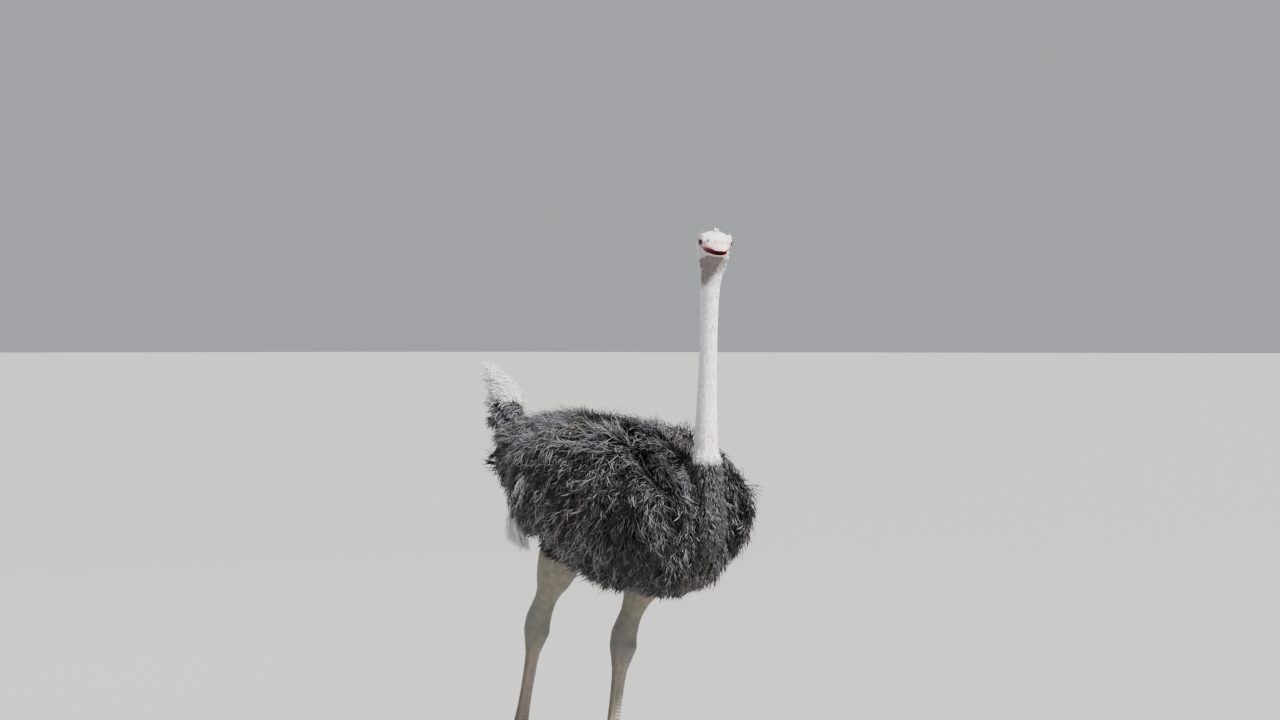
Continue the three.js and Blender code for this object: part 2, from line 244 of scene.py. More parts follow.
def wave(points, length, seed):
    """Slow random waves in space, about -1 to 1, that repeat at about this length."""
    random = np.random.default_rng(seed)
    ways = unit(random.normal(size=(7, 3))) * random.uniform(0.6, 1.5, (7, 1)) * 2 * np.pi / length
    return np.sin(points @ ways.T + random.uniform(0, 2 * np.pi, 7)).mean(1) * 2


print("smoothing tools ready")

# %% [markdown]
# ## One skin
# The CAD has the flesh in many nodes, with thin gaps between them. Copies of them, swollen a little so that
# they overlap, are melted into one closed surface by a voxel remesh. Booleans could join them too, but
# would leave creases at every joint. The facets are smoothed away, and where plumage grows the surface
# sinks inwards by the depth of the coat, never more than a share of the local thickness.

# %% Copies of the flesh
LEG_PARTS = ("thigh", "shank", "toe_big", "toe_small")
GROUPS = {
    "body": ["trunk", "wing_left", "wing_right"],
    "column": ["neck_base"],
    "neck": ["neck_lower", "neck_middle", "neck_upper"],
    "head": ["head"],
    "leg": [f"{part}_{side}" for side in ("left", "right") for part in LEG_PARTS],
}
FLESH = sum(GROUPS.values(), [])
EYES = ["eye_left", "eye_right"]
BILLS = ["bill_upper", "bill_lower"]
BILL_SWELL = -0.0035  # the skin runs on a little way under the horn


def swollen_copy(names, swell):
    """The CAD nodes as one mesh, each face named by its node's place in the list."""
    points, triangles, owner, start = [], [], [], 0
    for i, name in enumerate(names):
        mesh = nodes[name].data
        points.append(vertex_array(mesh) + normal_array(mesh) * (BILL_SWELL if name in BILLS else swell))
        triangles.append(triangle_array(mesh) + start)
        owner.append(np.full(len(triangles[-1]), i))
        start += len(points[-1])
    return np.concatenate(points), np.concatenate(triangles), np.concatenate(owner)


def remeshed(name, points, triangles, voxel):
    rough = linked(name, triangle_mesh(name, points, triangles))
    melt = rough.modifiers.new("melt", "REMESH")
    melt.mode, melt.voxel_size = "VOXEL", voxel
    done = bpy.data.meshes.new_from_object(rough.evaluated_get(bpy.context.evaluated_depsgraph_get()))
    old = rough.data
    bpy.data.objects.remove(rough)
    bpy.data.meshes.remove(old)
    return done


SWELL = 0.0012  # metres outwards, so that neighbours overlap
SKIN_VOXEL = 0.007
cad_points, cad_triangles, cad_owner = swollen_copy(FLESH + EYES + BILLS, SWELL)
base = remeshed("skin", cad_points, cad_triangles, SKIN_VOXEL)
base_edges = edge_array(base)
set_vertices(base, smoothed(vertex_array(base), base_edges, 6, FIRM))
print("melted skin:", len(base.vertices), "points")

# %% Which group each point of skin belongs to
cad_tree = BVHTree.FromPolygons(cad_points.tolist(), cad_triangles.tolist())
HEAD_GROUP = list(GROUPS).index("head")  # eyes and bill count as head
group_of = np.array([next((g for g, name in enumerate(GROUPS) if node in GROUPS[name]), HEAD_GROUP)
                     for node in FLESH + EYES + BILLS])


def group_numbers(points):
    return group_of[cad_owner[[cad_tree.find_nearest(p)[2] for p in points.tolist()]]]


def group_weights(points, edges, blend):
    """For each group, how much each point belongs to it, blurred over the surface."""
    one = np.eye(len(GROUPS))[group_numbers(points)]
    return dict(zip(GROUPS, smoothed(one, edges, blend).T))


points = vertex_array(base)
belongs = group_weights(points, base_edges, 8)
print({name: int((w > 0.5).sum()) for name, w in belongs.items()})

# %% [markdown]
# ### The fold between the wing and the breast
# Behind the shoulder of each folded wing the plumes dip into a fold, which slants from the root of the neck
# down the breast. The fold could be carved into the surface, but the coat hides its edges. A bent line of
# spots is enough: the skin sinks along it, and later the plumes near it are made shorter, combed along it,
# and darkened with painted shade that stands for the shadow of the head and neck across the back and
# shoulder, and for the shade beside the breast. The plumes of its inner bank are painted a little lighter,
# as if lit.

# %% The line of the fold
# x, y and z on the bird's right side, half width, painted shade and sinking, from the back forwards and down
FOLD = np.array([
    (-0.050, -0.030, 1.405, 0.040, 0.50, 0.0), (-0.069, -0.131, 1.381, 0.040, 0.75, 0.0),
    (-0.120, -0.230, 1.350, 0.040, 1.00, 0.6), (-0.214, -0.359, 1.306, 0.046, 1.00, 1.0),
    (-0.248, -0.455, 1.242, 0.048, 1.00, 1.0), (-0.238, -0.509, 1.199, 0.046, 1.00, 1.0),
    (-0.222, -0.535, 1.150, 0.036, 1.00, 0.7), (-0.224, -0.550, 1.089, 0.024, 0.70, 0.3),
    (-0.212, -0.550, 1.014, 0.032, 0.90, 0.6), (-0.190, -0.532, 0.938, 0.034, 0.90, 0.6),
    (-0.173, -0.509, 0.876, 0.022, 0.30, 0.1)])
INNER_BANK = (0.11, 0.03)  # metres from the fold, where its inner bank begins and is complete


def fold_at(place):
    """The fold's painted shade, sinking and way at each place, and the place's share of its inner bank."""
    right = place.copy()
    right[:, 0] = -np.abs(place[:, 0])
    a, b = FOLD[:-1], FOLD[1:]
    span = b[:, :3] - a[:, :3]
    share = ((right[:, None] - a[None, :, :3]) * span).sum(2) / (span * span).sum(1)
    share = np.clip(share, 0, 1)[:, :, None]
    spots = a[None] + (b - a)[None] * share
    away = np.linalg.norm(spots[:, :, :3] - right[:, None], axis=2)
    best = away.argmin(1)
    row = np.arange(len(place))
    spot, far = spots[row, best], away[row, best]
    near = step(1.5, 0.6, far / spot[:, 3])
    along = unit(span)[best]
    along[:, 0] *= -np.sign(place[:, 0])
    inner = step(*INNER_BANK, far) * (np.abs(place[:, 0]) < np.abs(spot[:, 0]))
    return near * spot[:, 4], near * spot[:, 5], along, inner


fold_painted_shade, fold_sink, _, _ = fold_at(points)
print("fold:", int((fold_painted_shade > 0.5).sum()), "points of skin")

# %% Sinking the skin under the plumage
DEPTH = {"body": 0.046, "column": 0.026, "neck": 0.003, "head": 0.001}  # metres of coat
FOLD_DEPTH = 0.045  # metres more where the fold is deepest
COLUMN_TOP = 1.228  # the height at which the neck comes out of its black column
THICKEST_SHARE = 0.36  # of the local thickness
wanted = sum(belongs[name] * depth for name, depth in DEPTH.items())
thinning = step(COLUMN_TOP + 0.01, COLUMN_TOP - 0.16, points[:, 2]) * 0.88 + 0.12
wanted *= np.where(belongs["column"] > 0.02, thinning, 1)
outward = unit(smoothed(normal_array(base), base_edges, 10))
base_tree = BVHTree.FromPolygons(points.tolist(), triangle_array(base).tolist())
for i in np.flatnonzero(wanted > 0.006):
    inward = Vector(-outward[i])
    hit = base_tree.ray_cast(Vector(points[i]) + inward * 0.002, inward)
    if hit[0] is not None:
        wanted[i] = min(wanted[i], THICKEST_SHARE * hit[3])
wanted = smoothed(wanted + FOLD_DEPTH * fold_sink * belongs["body"], base_edges, 12)
points = points - outward * wanted[:, None]
covered = belongs["body"] + belongs["column"] > 0.5
relaxed = smoothed(points, base_edges, 12)
points[covered] = relaxed[covered]
set_vertices(base, points)
point_values(base, "coat_depth", wanted)
# the fold's painted shade, kept on the skin for the plumes
point_values(base, "fold", fold_painted_shade)
print("sunk by up to", round(float(wanted.max()) * 1000), "mm")

# %% [markdown]
# ### Finer skin on the head and legs
# A 7 mm skin is fine under plumage, but the bare head and legs are looked at closely. Smaller voxels for
# the whole bird would waste faces under its coat. So only the bare faces are cut into smaller ones, and the
# new points are drawn on to a fine copy of the same CAD nodes, so their shape comes back. The ankles and
# the join of head and neck are then relaxed into one another, and the nape is drawn in a little.

# %% The head's own frame
HEAD = {"place": (-0.031, -0.568, 2.043), "yaw": -41.5, "pitch": 3.0, "roll": 3.4}  # metres and degrees
EYE = {"x": 0.039, "y": -0.008, "z": 0.002, "radius": 0.024}
head_turn = (Matrix.Rotation(math.radians(HEAD["yaw"]), 3, "Z")
             @ Matrix.Rotation(math.radians(HEAD["pitch"]), 3, "X")
             @ Matrix.Rotation(math.radians(HEAD["roll"]), 3, "Y"))
HEAD_TURN = np.array(head_turn)
HEAD_PLACE = np.array(HEAD["place"])


def to_head(points):
    return (np.asarray(points, float) - HEAD_PLACE) @ HEAD_TURN


def from_head(points):
    return np.asarray(points, float) @ HEAD_TURN.T + HEAD_PLACE


for side, name in ((1, "eye_left"), (-1, "eye_right")):
    low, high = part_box(name)
    made = Vector(from_head([side * EYE["x"], EYE["y"], EYE["z"]]))
    print(name, "is", round((made - (low + high) / 2).length * 1000, 2), "mm from its CAD place")

# %% Cutting faces finer and fitting them
def refined(mesh, chosen, rounds):
    work = bmesh.new()
    work.from_mesh(mesh)
    for _ in range(rounds):
        places = np.array([v.co for v in work.verts])
        keep = chosen(places)
        work.verts.index_update()
        edges = [e for e in work.edges if keep[e.verts[0].index] and keep[e.verts[1].index]]
        bmesh.ops.subdivide_edges(work, edges=edges, cuts=1, use_grid_fill=True)
    bmesh.ops.triangulate(work, faces=[f for f in work.faces if len(f.verts) > 4])
    work.to_mesh(mesh)
    work.free()
    mesh.update()


HEAD_MIDDLE = from_head([0, 0.005, -0.005])


def near_head(places):
    return np.linalg.norm(places - HEAD_MIDDLE, axis=1) < 0.105


def near_eyes(places):
    centres = from_head([[side * (EYE["x"] + 0.008), EYE["y"], EYE["z"]] for side in (1, -1)])
    return np.min([np.linalg.norm(places - c, axis=1) for c in centres], 0) < 0.034


def on_legs(places):
    return (places[:, 2] < 0.80) & (group_numbers(places) == list(GROUPS).index("leg"))


refined(base, near_head, 2)
refined(base, near_eyes, 1)
print("points with a fine head:", len(base.vertices))
refined(base, on_legs, 1)
print("points with fine legs:", len(base.vertices))

# %% Drawing the fine points on to the CAD shape
def fine_tree(names, voxel, rounds):
    fine_points, fine_triangles, _ = swollen_copy(names, SWELL)
    fine = remeshed("fine", fine_points, fine_triangles, voxel)
    shape = smoothed(vertex_array(fine), edge_array(fine), rounds, FIRM)
    return BVHTree.FromPolygons(shape.tolist(), triangle_array(fine).tolist())


def drawn(points, weight, tree, reach):
    moved = points.copy()
    for i in np.flatnonzero(weight > 0.01):
        spot = tree.find_nearest(Vector(points[i]), reach)[0]
        if spot is not None:
            moved[i] = points[i] + (np.array(spot) - points[i]) * weight[i]
    return moved


points = vertex_array(base)
base_edges = edge_array(base)
belongs = group_weights(points, base_edges, 6)
head_tree = fine_tree(["head", "neck_upper", *EYES, *BILLS], 0.002, 16)
legs_tree = fine_tree(GROUPS["leg"], 0.003, 40)
head_share = step(0.115, 0.095, np.linalg.norm(points - HEAD_MIDDLE, axis=1))
points = drawn(points, head_share, head_tree, 0.02)
leg_share = step(0.92, 1.0, belongs["leg"]) * step(0.86, 0.80, points[:, 2])
points = drawn(points, leg_share, legs_tree, 0.02)
print("head points:", int((head_share > 0.5).sum()), "leg points:", int((leg_share > 0.5).sum()))

# %% Easing the ankles, the nape and the throat's join
LEGS = {  # the ankle and the toe joint of each leg, and the way its foot points, in degrees from -Y
    "left": {"ankle": (0.080, -0.024, 0.508), "toe": (0.032, 0.008, 0.066), "turn": -12},
    "right": {"ankle": (-0.110, 0.260, 0.566), "toe": (-0.078, 0.385, 0.132), "turn": -6},
}
NAPE_HOLLOW = 0.016  # metres
for leg in LEGS.values():
    near = step(0.16, 0.09, np.linalg.norm(points - leg["ankle"], axis=1)) * (belongs["leg"] > 0.5)
    some = base_edges[(near[base_edges] > 0).all(1)]
    eased = smoothed(points, some, 34) + normal_array(base) * 0.0012
    points[near > 0] += ((eased - points) * near[:, None])[near > 0]
q = to_head(points)
nape = step(-0.115, -0.050, q[:, 2]) * step(-0.015, -0.035, q[:, 2]) * step(0.0, 0.05, q[:, 1]) * head_share
points = points - (NAPE_HOLLOW * nape)[:, None] * HEAD_TURN[:, 1]
join = bump(q[:, 2], -0.062, 0.030) * step(0.03, 0.06, np.linalg.norm(q - [0, -0.03, -0.02], axis=1))
join *= (np.linalg.norm(q, axis=1) < 0.16) * step(-0.02, 0.0, q[:, 1] + 0.4 * np.abs(q[:, 0]))
join_edges = base_edges[(join[base_edges] > 0.01).all(1)]
inside = np.zeros(len(points), bool)
inside[join_edges.ravel()] = True
for _ in range(6):
    relaxed = smoothed(points, join_edges, 12)
    points[inside] += ((relaxed - points) * join[:, None])[inside]
set_vertices(base, points)
print("eased points at the head's join:", int(inside.sum()))

# %% [markdown]
# ### Modelling the head
# An ostrich has the largest eyes of any land animal. They sit under a shelf of brow, between thick bare
# lids. A ring laid round each eye would show a seam, so the lids belong to the skin: it is pressed on to a
# ball a little larger than the eyeball, and pushed behind the eyeball inside an almond-shaped opening. The
# brow, the hollow before the eye, the ear and the folds of the throat are soft pushes along its normal.

# %% Lids, brow, ear and throat
LID = {  # the almond in shares of the eye's radius; how far out the lids and the hidden skin lie, in metres
    "half_length": 0.60, "up": 0.36, "down": 0.36, "radius": 0.0262, "behind": 0.0205,
}
GAZE_FORWARD = 0.34  # how far each eye looks ahead, for one step to its side
EAR = {"y": 0.043, "z": -0.010, "inside": 0.02}  # metres in the head's frame
THROAT_FOLD = 0.0085  # metres from one loose fold to the next


def eye_axes(side):
    gaze = unit(np.array([side, -GAZE_FORWARD, 0.03]))
    forward = unit(np.array([0, -1, 0]) + gaze[1] * gaze)
    return np.array([side * EYE["x"], EYE["y"], EYE["z"]]), gaze, forward, np.array([0.0, 0, 1])


def lid_gap(way, side):
    """How far a way out of the eyeball lies outside the almond between the lids; negative between them."""
    _, gaze, forward, up = eye_axes(side)
    s, v, ahead = way @ forward, way @ up, way @ gaze
    arch = np.sqrt(np.clip(1 - (s / LID["half_length"]) ** 2, 0, 1))
    tall = np.where(v > 0, LID["up"], LID["down"]) * arch
    beyond = np.abs(s) - LID["half_length"]
    return np.where(beyond < 0, np.abs(v) - tall, np.hypot(beyond, v)), ahead


def sculpted_head(q, normal):
    """The head's skin with its features, in the head's frame; x is to its left and y backwards."""
    x, y, z = q.T
    ax = np.abs(x)
    brow = 0.0120 * bump(ax, 0.052, 0.014) * bump(y, -0.006, 0.024) * bump(z, 0.023, 0.009)
    cheek_bone = 0.0035 * bump(ax, 0.052, 0.010) * bump(y, -0.012, 0.030) * bump(z, -0.024, 0.006)
    before_eye = 0.0040 * bump(ax, 0.034, 0.012) * bump(y, -0.040, 0.012) * bump(z, -0.002, 0.012)
    push = brow + cheek_bone - before_eye
    ear = np.sqrt((y - EAR["y"]) ** 2 + (z - EAR["z"]) ** 2) + np.where(ax > EAR["inside"], 0, 1)
    push += 0.0016 * bump(ear, 0.0095, 0.003) - 0.0060 * bump(ear, 0, 0.0052)
    folds = step(-0.030, -0.055, z) * step(0.045, 0.0, y)
    push += 0.0007 * folds * np.sin(x * 2 * np.pi / THROAT_FOLD + 1.4 * np.sin(z * 90))
    push += 0.0003 * wave(q, 0.012, 3) + 0.0002 * wave(q, 0.005, 4)
    shaped = q + normal * push[:, None]
    for side in (1, -1):
        centre = eye_axes(side)[0]
        arm = shaped - centre
        way = unit(arm)
        gap, ahead = lid_gap(way, side)
        lid = LID["radius"] + 0.0012 * bump(gap, 0.07, 0.05) - 0.0011 * bump(gap, 0.20, 0.045)
        lid = lid + 0.0009 * bump(gap, 0.30, 0.05)
        radius = LID["behind"] + (lid - LID["behind"]) * step(-0.03, 0.03, gap)
        share = step(0.62, 0.30, gap) * step(0.05, 0.3, ahead)
        shaped = shaped + (centre + way * radius[:, None] - shaped) * share[:, None]
    return shaped


print("lids open", round(LID["up"] * LID["radius"] * 1000, 1), "mm over the gaze")

# %% Sculpting the head
head_points = np.flatnonzero(head_share > 0.01)
local = sculpted_head(to_head(points[head_points]), normal_array(base)[head_points] @ HEAD_TURN)
share = head_share[head_points][:, None]
points[head_points] += (from_head(local) - points[head_points]) * share
set_vertices(base, points)
print("sculpted", len(head_points), "head points")

# %% [markdown]
# ## Materials
# Skin, plumes and horn are matt and uneven in colour. Painted textures could hold finer markings, but they
# would need files beside the script. So each finish is a small node tree on one Principled shader, whose
# colours vary by slow noise in the object's own space and by values stored on the points.

# %% Node helpers
class Finish:
    """A material that is built up node by node around its Principled shader."""

    def __init__(self, name, **sockets):
        self.material = bpy.data.materials.new(name)
        self.material.use_nodes = True
        self.tree = self.material.node_tree
        self.shader = self.tree.nodes["Principled BSDF"]
        for socket, value in sockets.items():
            self.shader.inputs[socket.replace("_", " ")].default_value = value

    def node(self, kind, inputs=(), **settings):
        made = self.tree.nodes.new("ShaderNode" + kind)
        for key, value in settings.items():
            setattr(made, key, value)
        for key, value in dict(inputs).items():
            if isinstance(value, bpy.types.NodeSocket):
                self.tree.links.new(value, made.inputs[key])
            else:
                made.inputs[key].default_value = value
        return made

    def wear(self, socket, value):
        self.tree.links.new(value, self.shader.inputs[socket])

    def place(self, stretch=(1, 1, 1)):
        here = self.node("TexCoord").outputs["Object"]
        return self.node("Mapping", {"Vector": here, "Scale": stretch}).outputs[0]

    def noise(self, scale, detail=3, stretch=(1, 1, 1)):
        inputs = {"Vector": self.place(stretch), "Scale": scale, "Detail": detail}
        return self.node("TexNoise", inputs).outputs["Fac"]

    def cells(self, scale):
        inputs = {"Vector": self.place(), "Scale": scale}
        return self.node("TexVoronoi", inputs, feature="DISTANCE_TO_EDGE").outputs["Distance"]

    def stored(self, name):
        return self.node("Attribute", attribute_name=name).outputs["Fac"]

    def between(self, value, low, high, start=0.0, end=1.0):
        inputs = {"Value": value, "From Min": low, "From Max": high, "To Min": start, "To Max": end}
        return self.node("MapRange", inputs).outputs["Result"]

    def times(self, a, b):
        return self.node("Math", {0: a, 1: b}, operation="MULTIPLY").outputs[0]

    def mixed(self, share, first, second):
        rgba = lambda c: c if isinstance(c, bpy.types.NodeSocket) else (*c, 1)
        mixer = self.node("Mix", data_type="RGBA")
        for key, value in ((0, share), (6, rgba(first)), (7, rgba(second))):
            if isinstance(value, bpy.types.NodeSocket):
                self.tree.links.new(value, mixer.inputs[key])
            else:
                mixer.inputs[key].default_value = value
        return mixer.outputs[2]

    def relief(self, height, distance, strength=1.0, under=None):
        inputs = {"Height": height, "Distance": distance, "Strength": strength}
        if under is not None:
            inputs["Normal"] = under
        return self.node("Bump", inputs).outputs["Normal"]


print("node helpers ready")

# %% Plume finishes
def plume_finish(name, dark, light, tint, roughness, sheen):
    """A barb's colour runs from dark at its root to lighter towards its tip, lock by lock."""
    made = Finish(name, Roughness=roughness, Sheen_Weight=sheen, Sheen_Roughness=0.5, Specular_IOR_Level=0.3)
    # the stored shade holds each tuft's tone, painted highlights and painted shade included
    shade = made.stored("shade")
    along = made.between(made.stored("along"), 0.0, 0.9, 0.35, 1.0)
    streaks = made.between(made.noise(260, 2, (1, 1, 0.35)), 0.3, 0.7, 0.75, 1.2)
    share = made.times(made.times(shade, along), streaks)
    warm = made.mixed(made.between(made.noise(5.5, 2), 0.42, 0.66), light, tint)
    made.wear("Base Color", made.mixed(share, dark, warm))
    return made.material


black_plumage = plume_finish("black_plumage", dark=(0.0022, 0.0022, 0.0028), light=(0.370, 0.370, 0.412),
                             tint=(0.370, 0.338, 0.328), roughness=0.5, sheen=0.0)
white_plumage = plume_finish("white_plumage", dark=(0.80, 0.79, 0.80), light=(0.95, 0.94, 0.95),
                             tint=(0.92, 0.89, 0.86), roughness=0.7, sheen=0.3)
neck_down = plume_finish("neck_down", dark=(0.30, 0.30, 0.34), light=(0.93, 0.93, 0.97),
                         tint=(0.88, 0.86, 0.89), roughness=0.75, sheen=0.3)
print("plume finishes ready")

# %% Skin finish
def skin_finish():
    """Painted shade under plumage, bluish-white neck, pink-white head, grey-buff legs, blue-grey ankles."""
    made = Finish("ostrich_skin", Roughness=0.62, Specular_IOR_Level=0.25)
    mottle = made.noise(38, 4)
    fine = made.noise(240, 3)
    neck = made.mixed(made.between(mottle, 0.40, 0.75), (0.84, 0.84, 0.91), (0.74, 0.69, 0.74))
    head = made.mixed(made.between(mottle, 0.35, 0.7), (0.78, 0.73, 0.74), (0.66, 0.52, 0.53))
    leg = made.mixed(made.between(mottle, 0.3, 0.7), (0.235, 0.215, 0.17), (0.15, 0.14, 0.115))
    leg = made.mixed(made.between(made.cells(150), 0.0, 0.06, 0.22, 0.0), leg, (0.11, 0.095, 0.085))
    leg = made.mixed(made.times(made.stored("ankle"), 0.30), leg, (0.13, 0.15, 0.17))
    leg = made.mixed(made.times(made.stored("shin"), 0.6), leg, (0.40, 0.29, 0.25))
    # painted shade: the skin under the plumage is near-black, so gaps in the coat read as shade
    color = made.mixed(made.stored("bare_leg"), (0.006, 0.006, 0.007), leg)
    color = made.mixed(made.stored("bare_neck"), color, neck)
    color = made.mixed(made.stored("bare_head"), color, head)
    # painted shadow: the throat is tan skin darkened for the head's shadow
    tan_and_painted_shade_throat = made.mixed(made.between(mottle, 0.35, 0.65), (0.065, 0.055, 0.040), (0.14, 0.115, 0.09))
    color = made.mixed(made.times(made.stored("throat_tan_and_painted_shade"), 0.9), color, tan_and_painted_shade_throat)
    lines = made.between(made.noise(75, 3, (1, 1, 0.1)), 0.52, 0.66)
    color = made.mixed(made.times(lines, made.stored("flush")), color, (0.62, 0.30, 0.34))
    # dark lid rims, with painted shade round the eyes, before them and in the ears
    color = made.mixed(made.stored("dark_lids_and_painted_shade"), color, (0.13, 0.075, 0.085))
    color = made.mixed(made.stored("gape"), color, (0.20, 0.04, 0.055))
    made.wear("Base Color", color)
    scales = made.between(made.cells(150), 0.0, 0.12)
    pores = made.relief(fine, 0.0006, 0.7)
    made.wear("Normal", made.relief(made.times(scales, made.stored("bare_leg")), 0.0008, 0.7, pores))
    return made.material


ostrich_skin = skin_finish()
print("skin finish ready")

# %% [markdown]
# ### Markings on the skin
# Bare parts differ in colour: dark lid rims, a red corner of the mouth, a tan throat, a flush low on the
# neck, bluish ankles and pinkish shins. Some marks are painted shade: a ring round each eye, the lore and
# the ear's opening are darkened for the shade under the brow, beside the bill and in the ear, and the
# throat is darkened for the head's shadow. Painting them on an image would need a fixed map, so each is a
# share stored on the points of the skin, with soft or ragged edges, that the skin finish reads.

# %% Which skin is bare
points = vertex_array(base)
base_edges = edge_array(base)
belongs = group_weights(points, base_edges, 6)
q = to_head(points)
bare_head = belongs["head"] * step(-0.075, -0.045, q[:, 2])
point_values(base, "bare_leg", step(0.3, 0.7, belongs["leg"]))
point_values(base, "bare_neck", step(0.3, 0.7, belongs["neck"] + belongs["head"]))
point_values(base, "bare_head", bare_head)
print("bare head points:", int((bare_head > 0.5).sum()))

# %% Lids, ears and the corner of the mouth
dark_lids_and_painted_shade = np.zeros(len(points))
for side in (1, -1):
    gap, ahead = lid_gap(unit(q - eye_axes(side)[0]), side)
    close = np.linalg.norm(q - eye_axes(side)[0], axis=1) < 0.032
    dark_lids_and_painted_shade = np.maximum(dark_lids_and_painted_shade, step(0.11, 0.03, gap) * (ahead > 0.2) * close)
    # painted shade: a wider ring round each eye for the shade under the brow
    dark_lids_and_painted_shade = np.maximum(dark_lids_and_painted_shade, 0.55 * step(0.42, 0.22, gap) * (ahead > 0.1) * close)
# painted shade before the eye, for the shade beside the bill
painted_shade_before_eye = bump(np.abs(q[:, 0]), 0.037, 0.013) * bump(q[:, 1], -0.036, 0.016) * bump(q[:, 2], 0.001, 0.010)
dark_lids_and_painted_shade = np.maximum(dark_lids_and_painted_shade, 0.85 * painted_shade_before_eye)
ear = np.hypot(q[:, 1] - EAR["y"], q[:, 2] - EAR["z"]) + (np.abs(q[:, 0]) < EAR["inside"])
# painted shade in the ear's opening
dark_lids_and_painted_shade = np.maximum(dark_lids_and_painted_shade, 0.7 * bump(ear, 0, 0.0042))
point_values(base, "dark_lids_and_painted_shade", dark_lids_and_painted_shade)
off_gape = np.abs(q[:, 2] + 0.0260 + (q[:, 1] + 0.006) * -0.07)  # from the line between the bill's halves
gape = step(-0.012, -0.022, q[:, 1]) * step(0.0140, 0.0115, off_gape)
point_values(base, "gape", gape * (q[:, 2] > -0.05) * (belongs["head"] + belongs["neck"] > 0.5))
print("points on lids, lores and ears:", int((dark_lids_and_painted_shade > 0.5).sum()))

# %% Throat and neck
# painted shadow: the throat patch is tan skin darkened for the head's shadow, its lower edge slanting as the
# shadow does
outlook = unit(smoothed(normal_array(base), base_edges, 6)) @ HEAD_TURN
low_edge = -0.135 + 0.9 * np.clip(q[:, 0], -0.04, 0.04)
ragged = 0.010 * wave(q, 0.020, 31)
throat_tan_and_painted_shade = step(0.12, -0.45, outlook[:, 1] + 12 * ragged) * step(-0.034, -0.052, q[:, 2])
throat_tan_and_painted_shade *= step(low_edge - 0.024, low_edge + 0.020, q[:, 2] + ragged)
point_values(base, "throat_tan_and_painted_shade", throat_tan_and_painted_shade * (belongs["neck"] + belongs["head"] > 0.5))
flush = step(1.42, 1.30, points[:, 2]) * step(1.235, 1.26, points[:, 2]) * (belongs["neck"] > 0.5)
point_values(base, "flush", 0.7 * flush)
print("throat points:", int((throat_tan_and_painted_shade > 0.5).sum()))

# %% Ankles and shins
ankle, shin = np.zeros(len(points)), np.zeros(len(points))
for leg in LEGS.values():
    a, b = np.array(leg["ankle"]), np.array(leg["toe"])
    away = np.linalg.norm(points - a, axis=1)
    ankle = np.maximum(ankle, step(0.13, 0.05, away))
    axis = unit(b - a)
    down = (points - a) @ axis
    off = points - a - down[:, None] * axis
    turn = math.radians(leg["turn"])
    fore = unit(off) @ np.array([math.sin(turn), -math.cos(turn), 0])
    near = step(0.085, 0.055, np.linalg.norm(off, axis=1))
    shin = np.maximum(shin, near * step(0.0, 0.7, fore) * step(0.03, 0.20, down) * step(0.56, 0.40, down))
point_values(base, "ankle", ankle)
point_values(base, "shin", shin)
print("ankle points:", int((ankle > 0.5).sum()), "shin points:", int((shin > 0.5).sum()))

# %% The skin as a piece
base.shade_smooth()
skin = linked("skin", base, ostrich_skin)
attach(skin, "root")
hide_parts(*FLESH)
print("skin faces:", len(base.polygons))

# %% [markdown]
# ## Bill
# The flat, broad bill ends in a blunt nail. It could be drawn out of the skin, but the remesh would round
# off its edges. Its two halves are lofts between a top and a bottom edge line, drawn finely enough to carry
# the ridge, the nostril slits, the fleshy pink rim and the hollow of the mouth. The lower half is drawn
# shut and then swung open a few degrees, as the bird pants.

# %% Lofting between two edge lines
def curve_at(knots, t):
    """A smooth curve through the knots, at shares t of the way by knot number."""
    knots = np.asarray(knots, float)
    last = len(knots) - 1
    i = np.clip((np.asarray(t) * last).astype(int), 0, last - 1)
    u = (np.asarray(t) * last - i)[:, None]
    p0, p1, p2, p3 = (knots[np.clip(i + k, 0, last)] for k in (-1, 0, 1, 2))
    square, cube = 2 * p0 - 5 * p1 + 4 * p2 - p3, 3 * p1 - p0 - 3 * p2 + p3
    return 0.5 * (2 * p1 + (p2 - p0) * u + square * u**2 + cube * u**3)


def through(pairs, t):
    """A smooth function through (position, value) pairs."""
    x, y = np.array(pairs, float).T
    before, after = np.maximum(np.arange(len(x)) - 1, 0), np.minimum(np.arange(len(x)) + 1, len(x) - 1)
    slope = (y[after] - y[before]) / (x[after] - x[before])
    i = np.clip(np.searchsorted(x, t, "right") - 1, 0, len(x) - 2)
    span = x[i + 1] - x[i]
    u = np.clip((t - x[i]) / span, 0, 1)
    bend = slope[i] * span * u * (1 - u) ** 2 + slope[i + 1] * span * u * u * (u - 1)
    return y[i] + (y[i + 1] - y[i]) * u * u * (3 - 2 * u) + bend


def bill_loft(top, bottom, half, belly, stations=90, sides=80):
    """Rings of points between edge lines of (y, z) in mm, widest at the share `belly` of the depth."""
    t = 0.5 - 0.5 * np.cos(np.pi * np.arange(1, stations) / stations)
    high, low = curve_at(top, t), curve_at(bottom, t)
    width = through(half, t)
    angle = 2 * np.pi * np.arange(sides) / sides
    rise = np.where(np.sin(angle) > 0, belly, 1 - belly) * np.sin(angle)
    middle = high + (low - high) * belly
    grid = np.empty((len(t), sides, 3))
    grid[:, :, 0] = width[:, None] * np.cos(angle)
    grid[:, :, 1:] = middle[:, None, :] + (high - low)[:, None, :] * rise[:, None]
    return grid, t[:, None], angle[None, :]


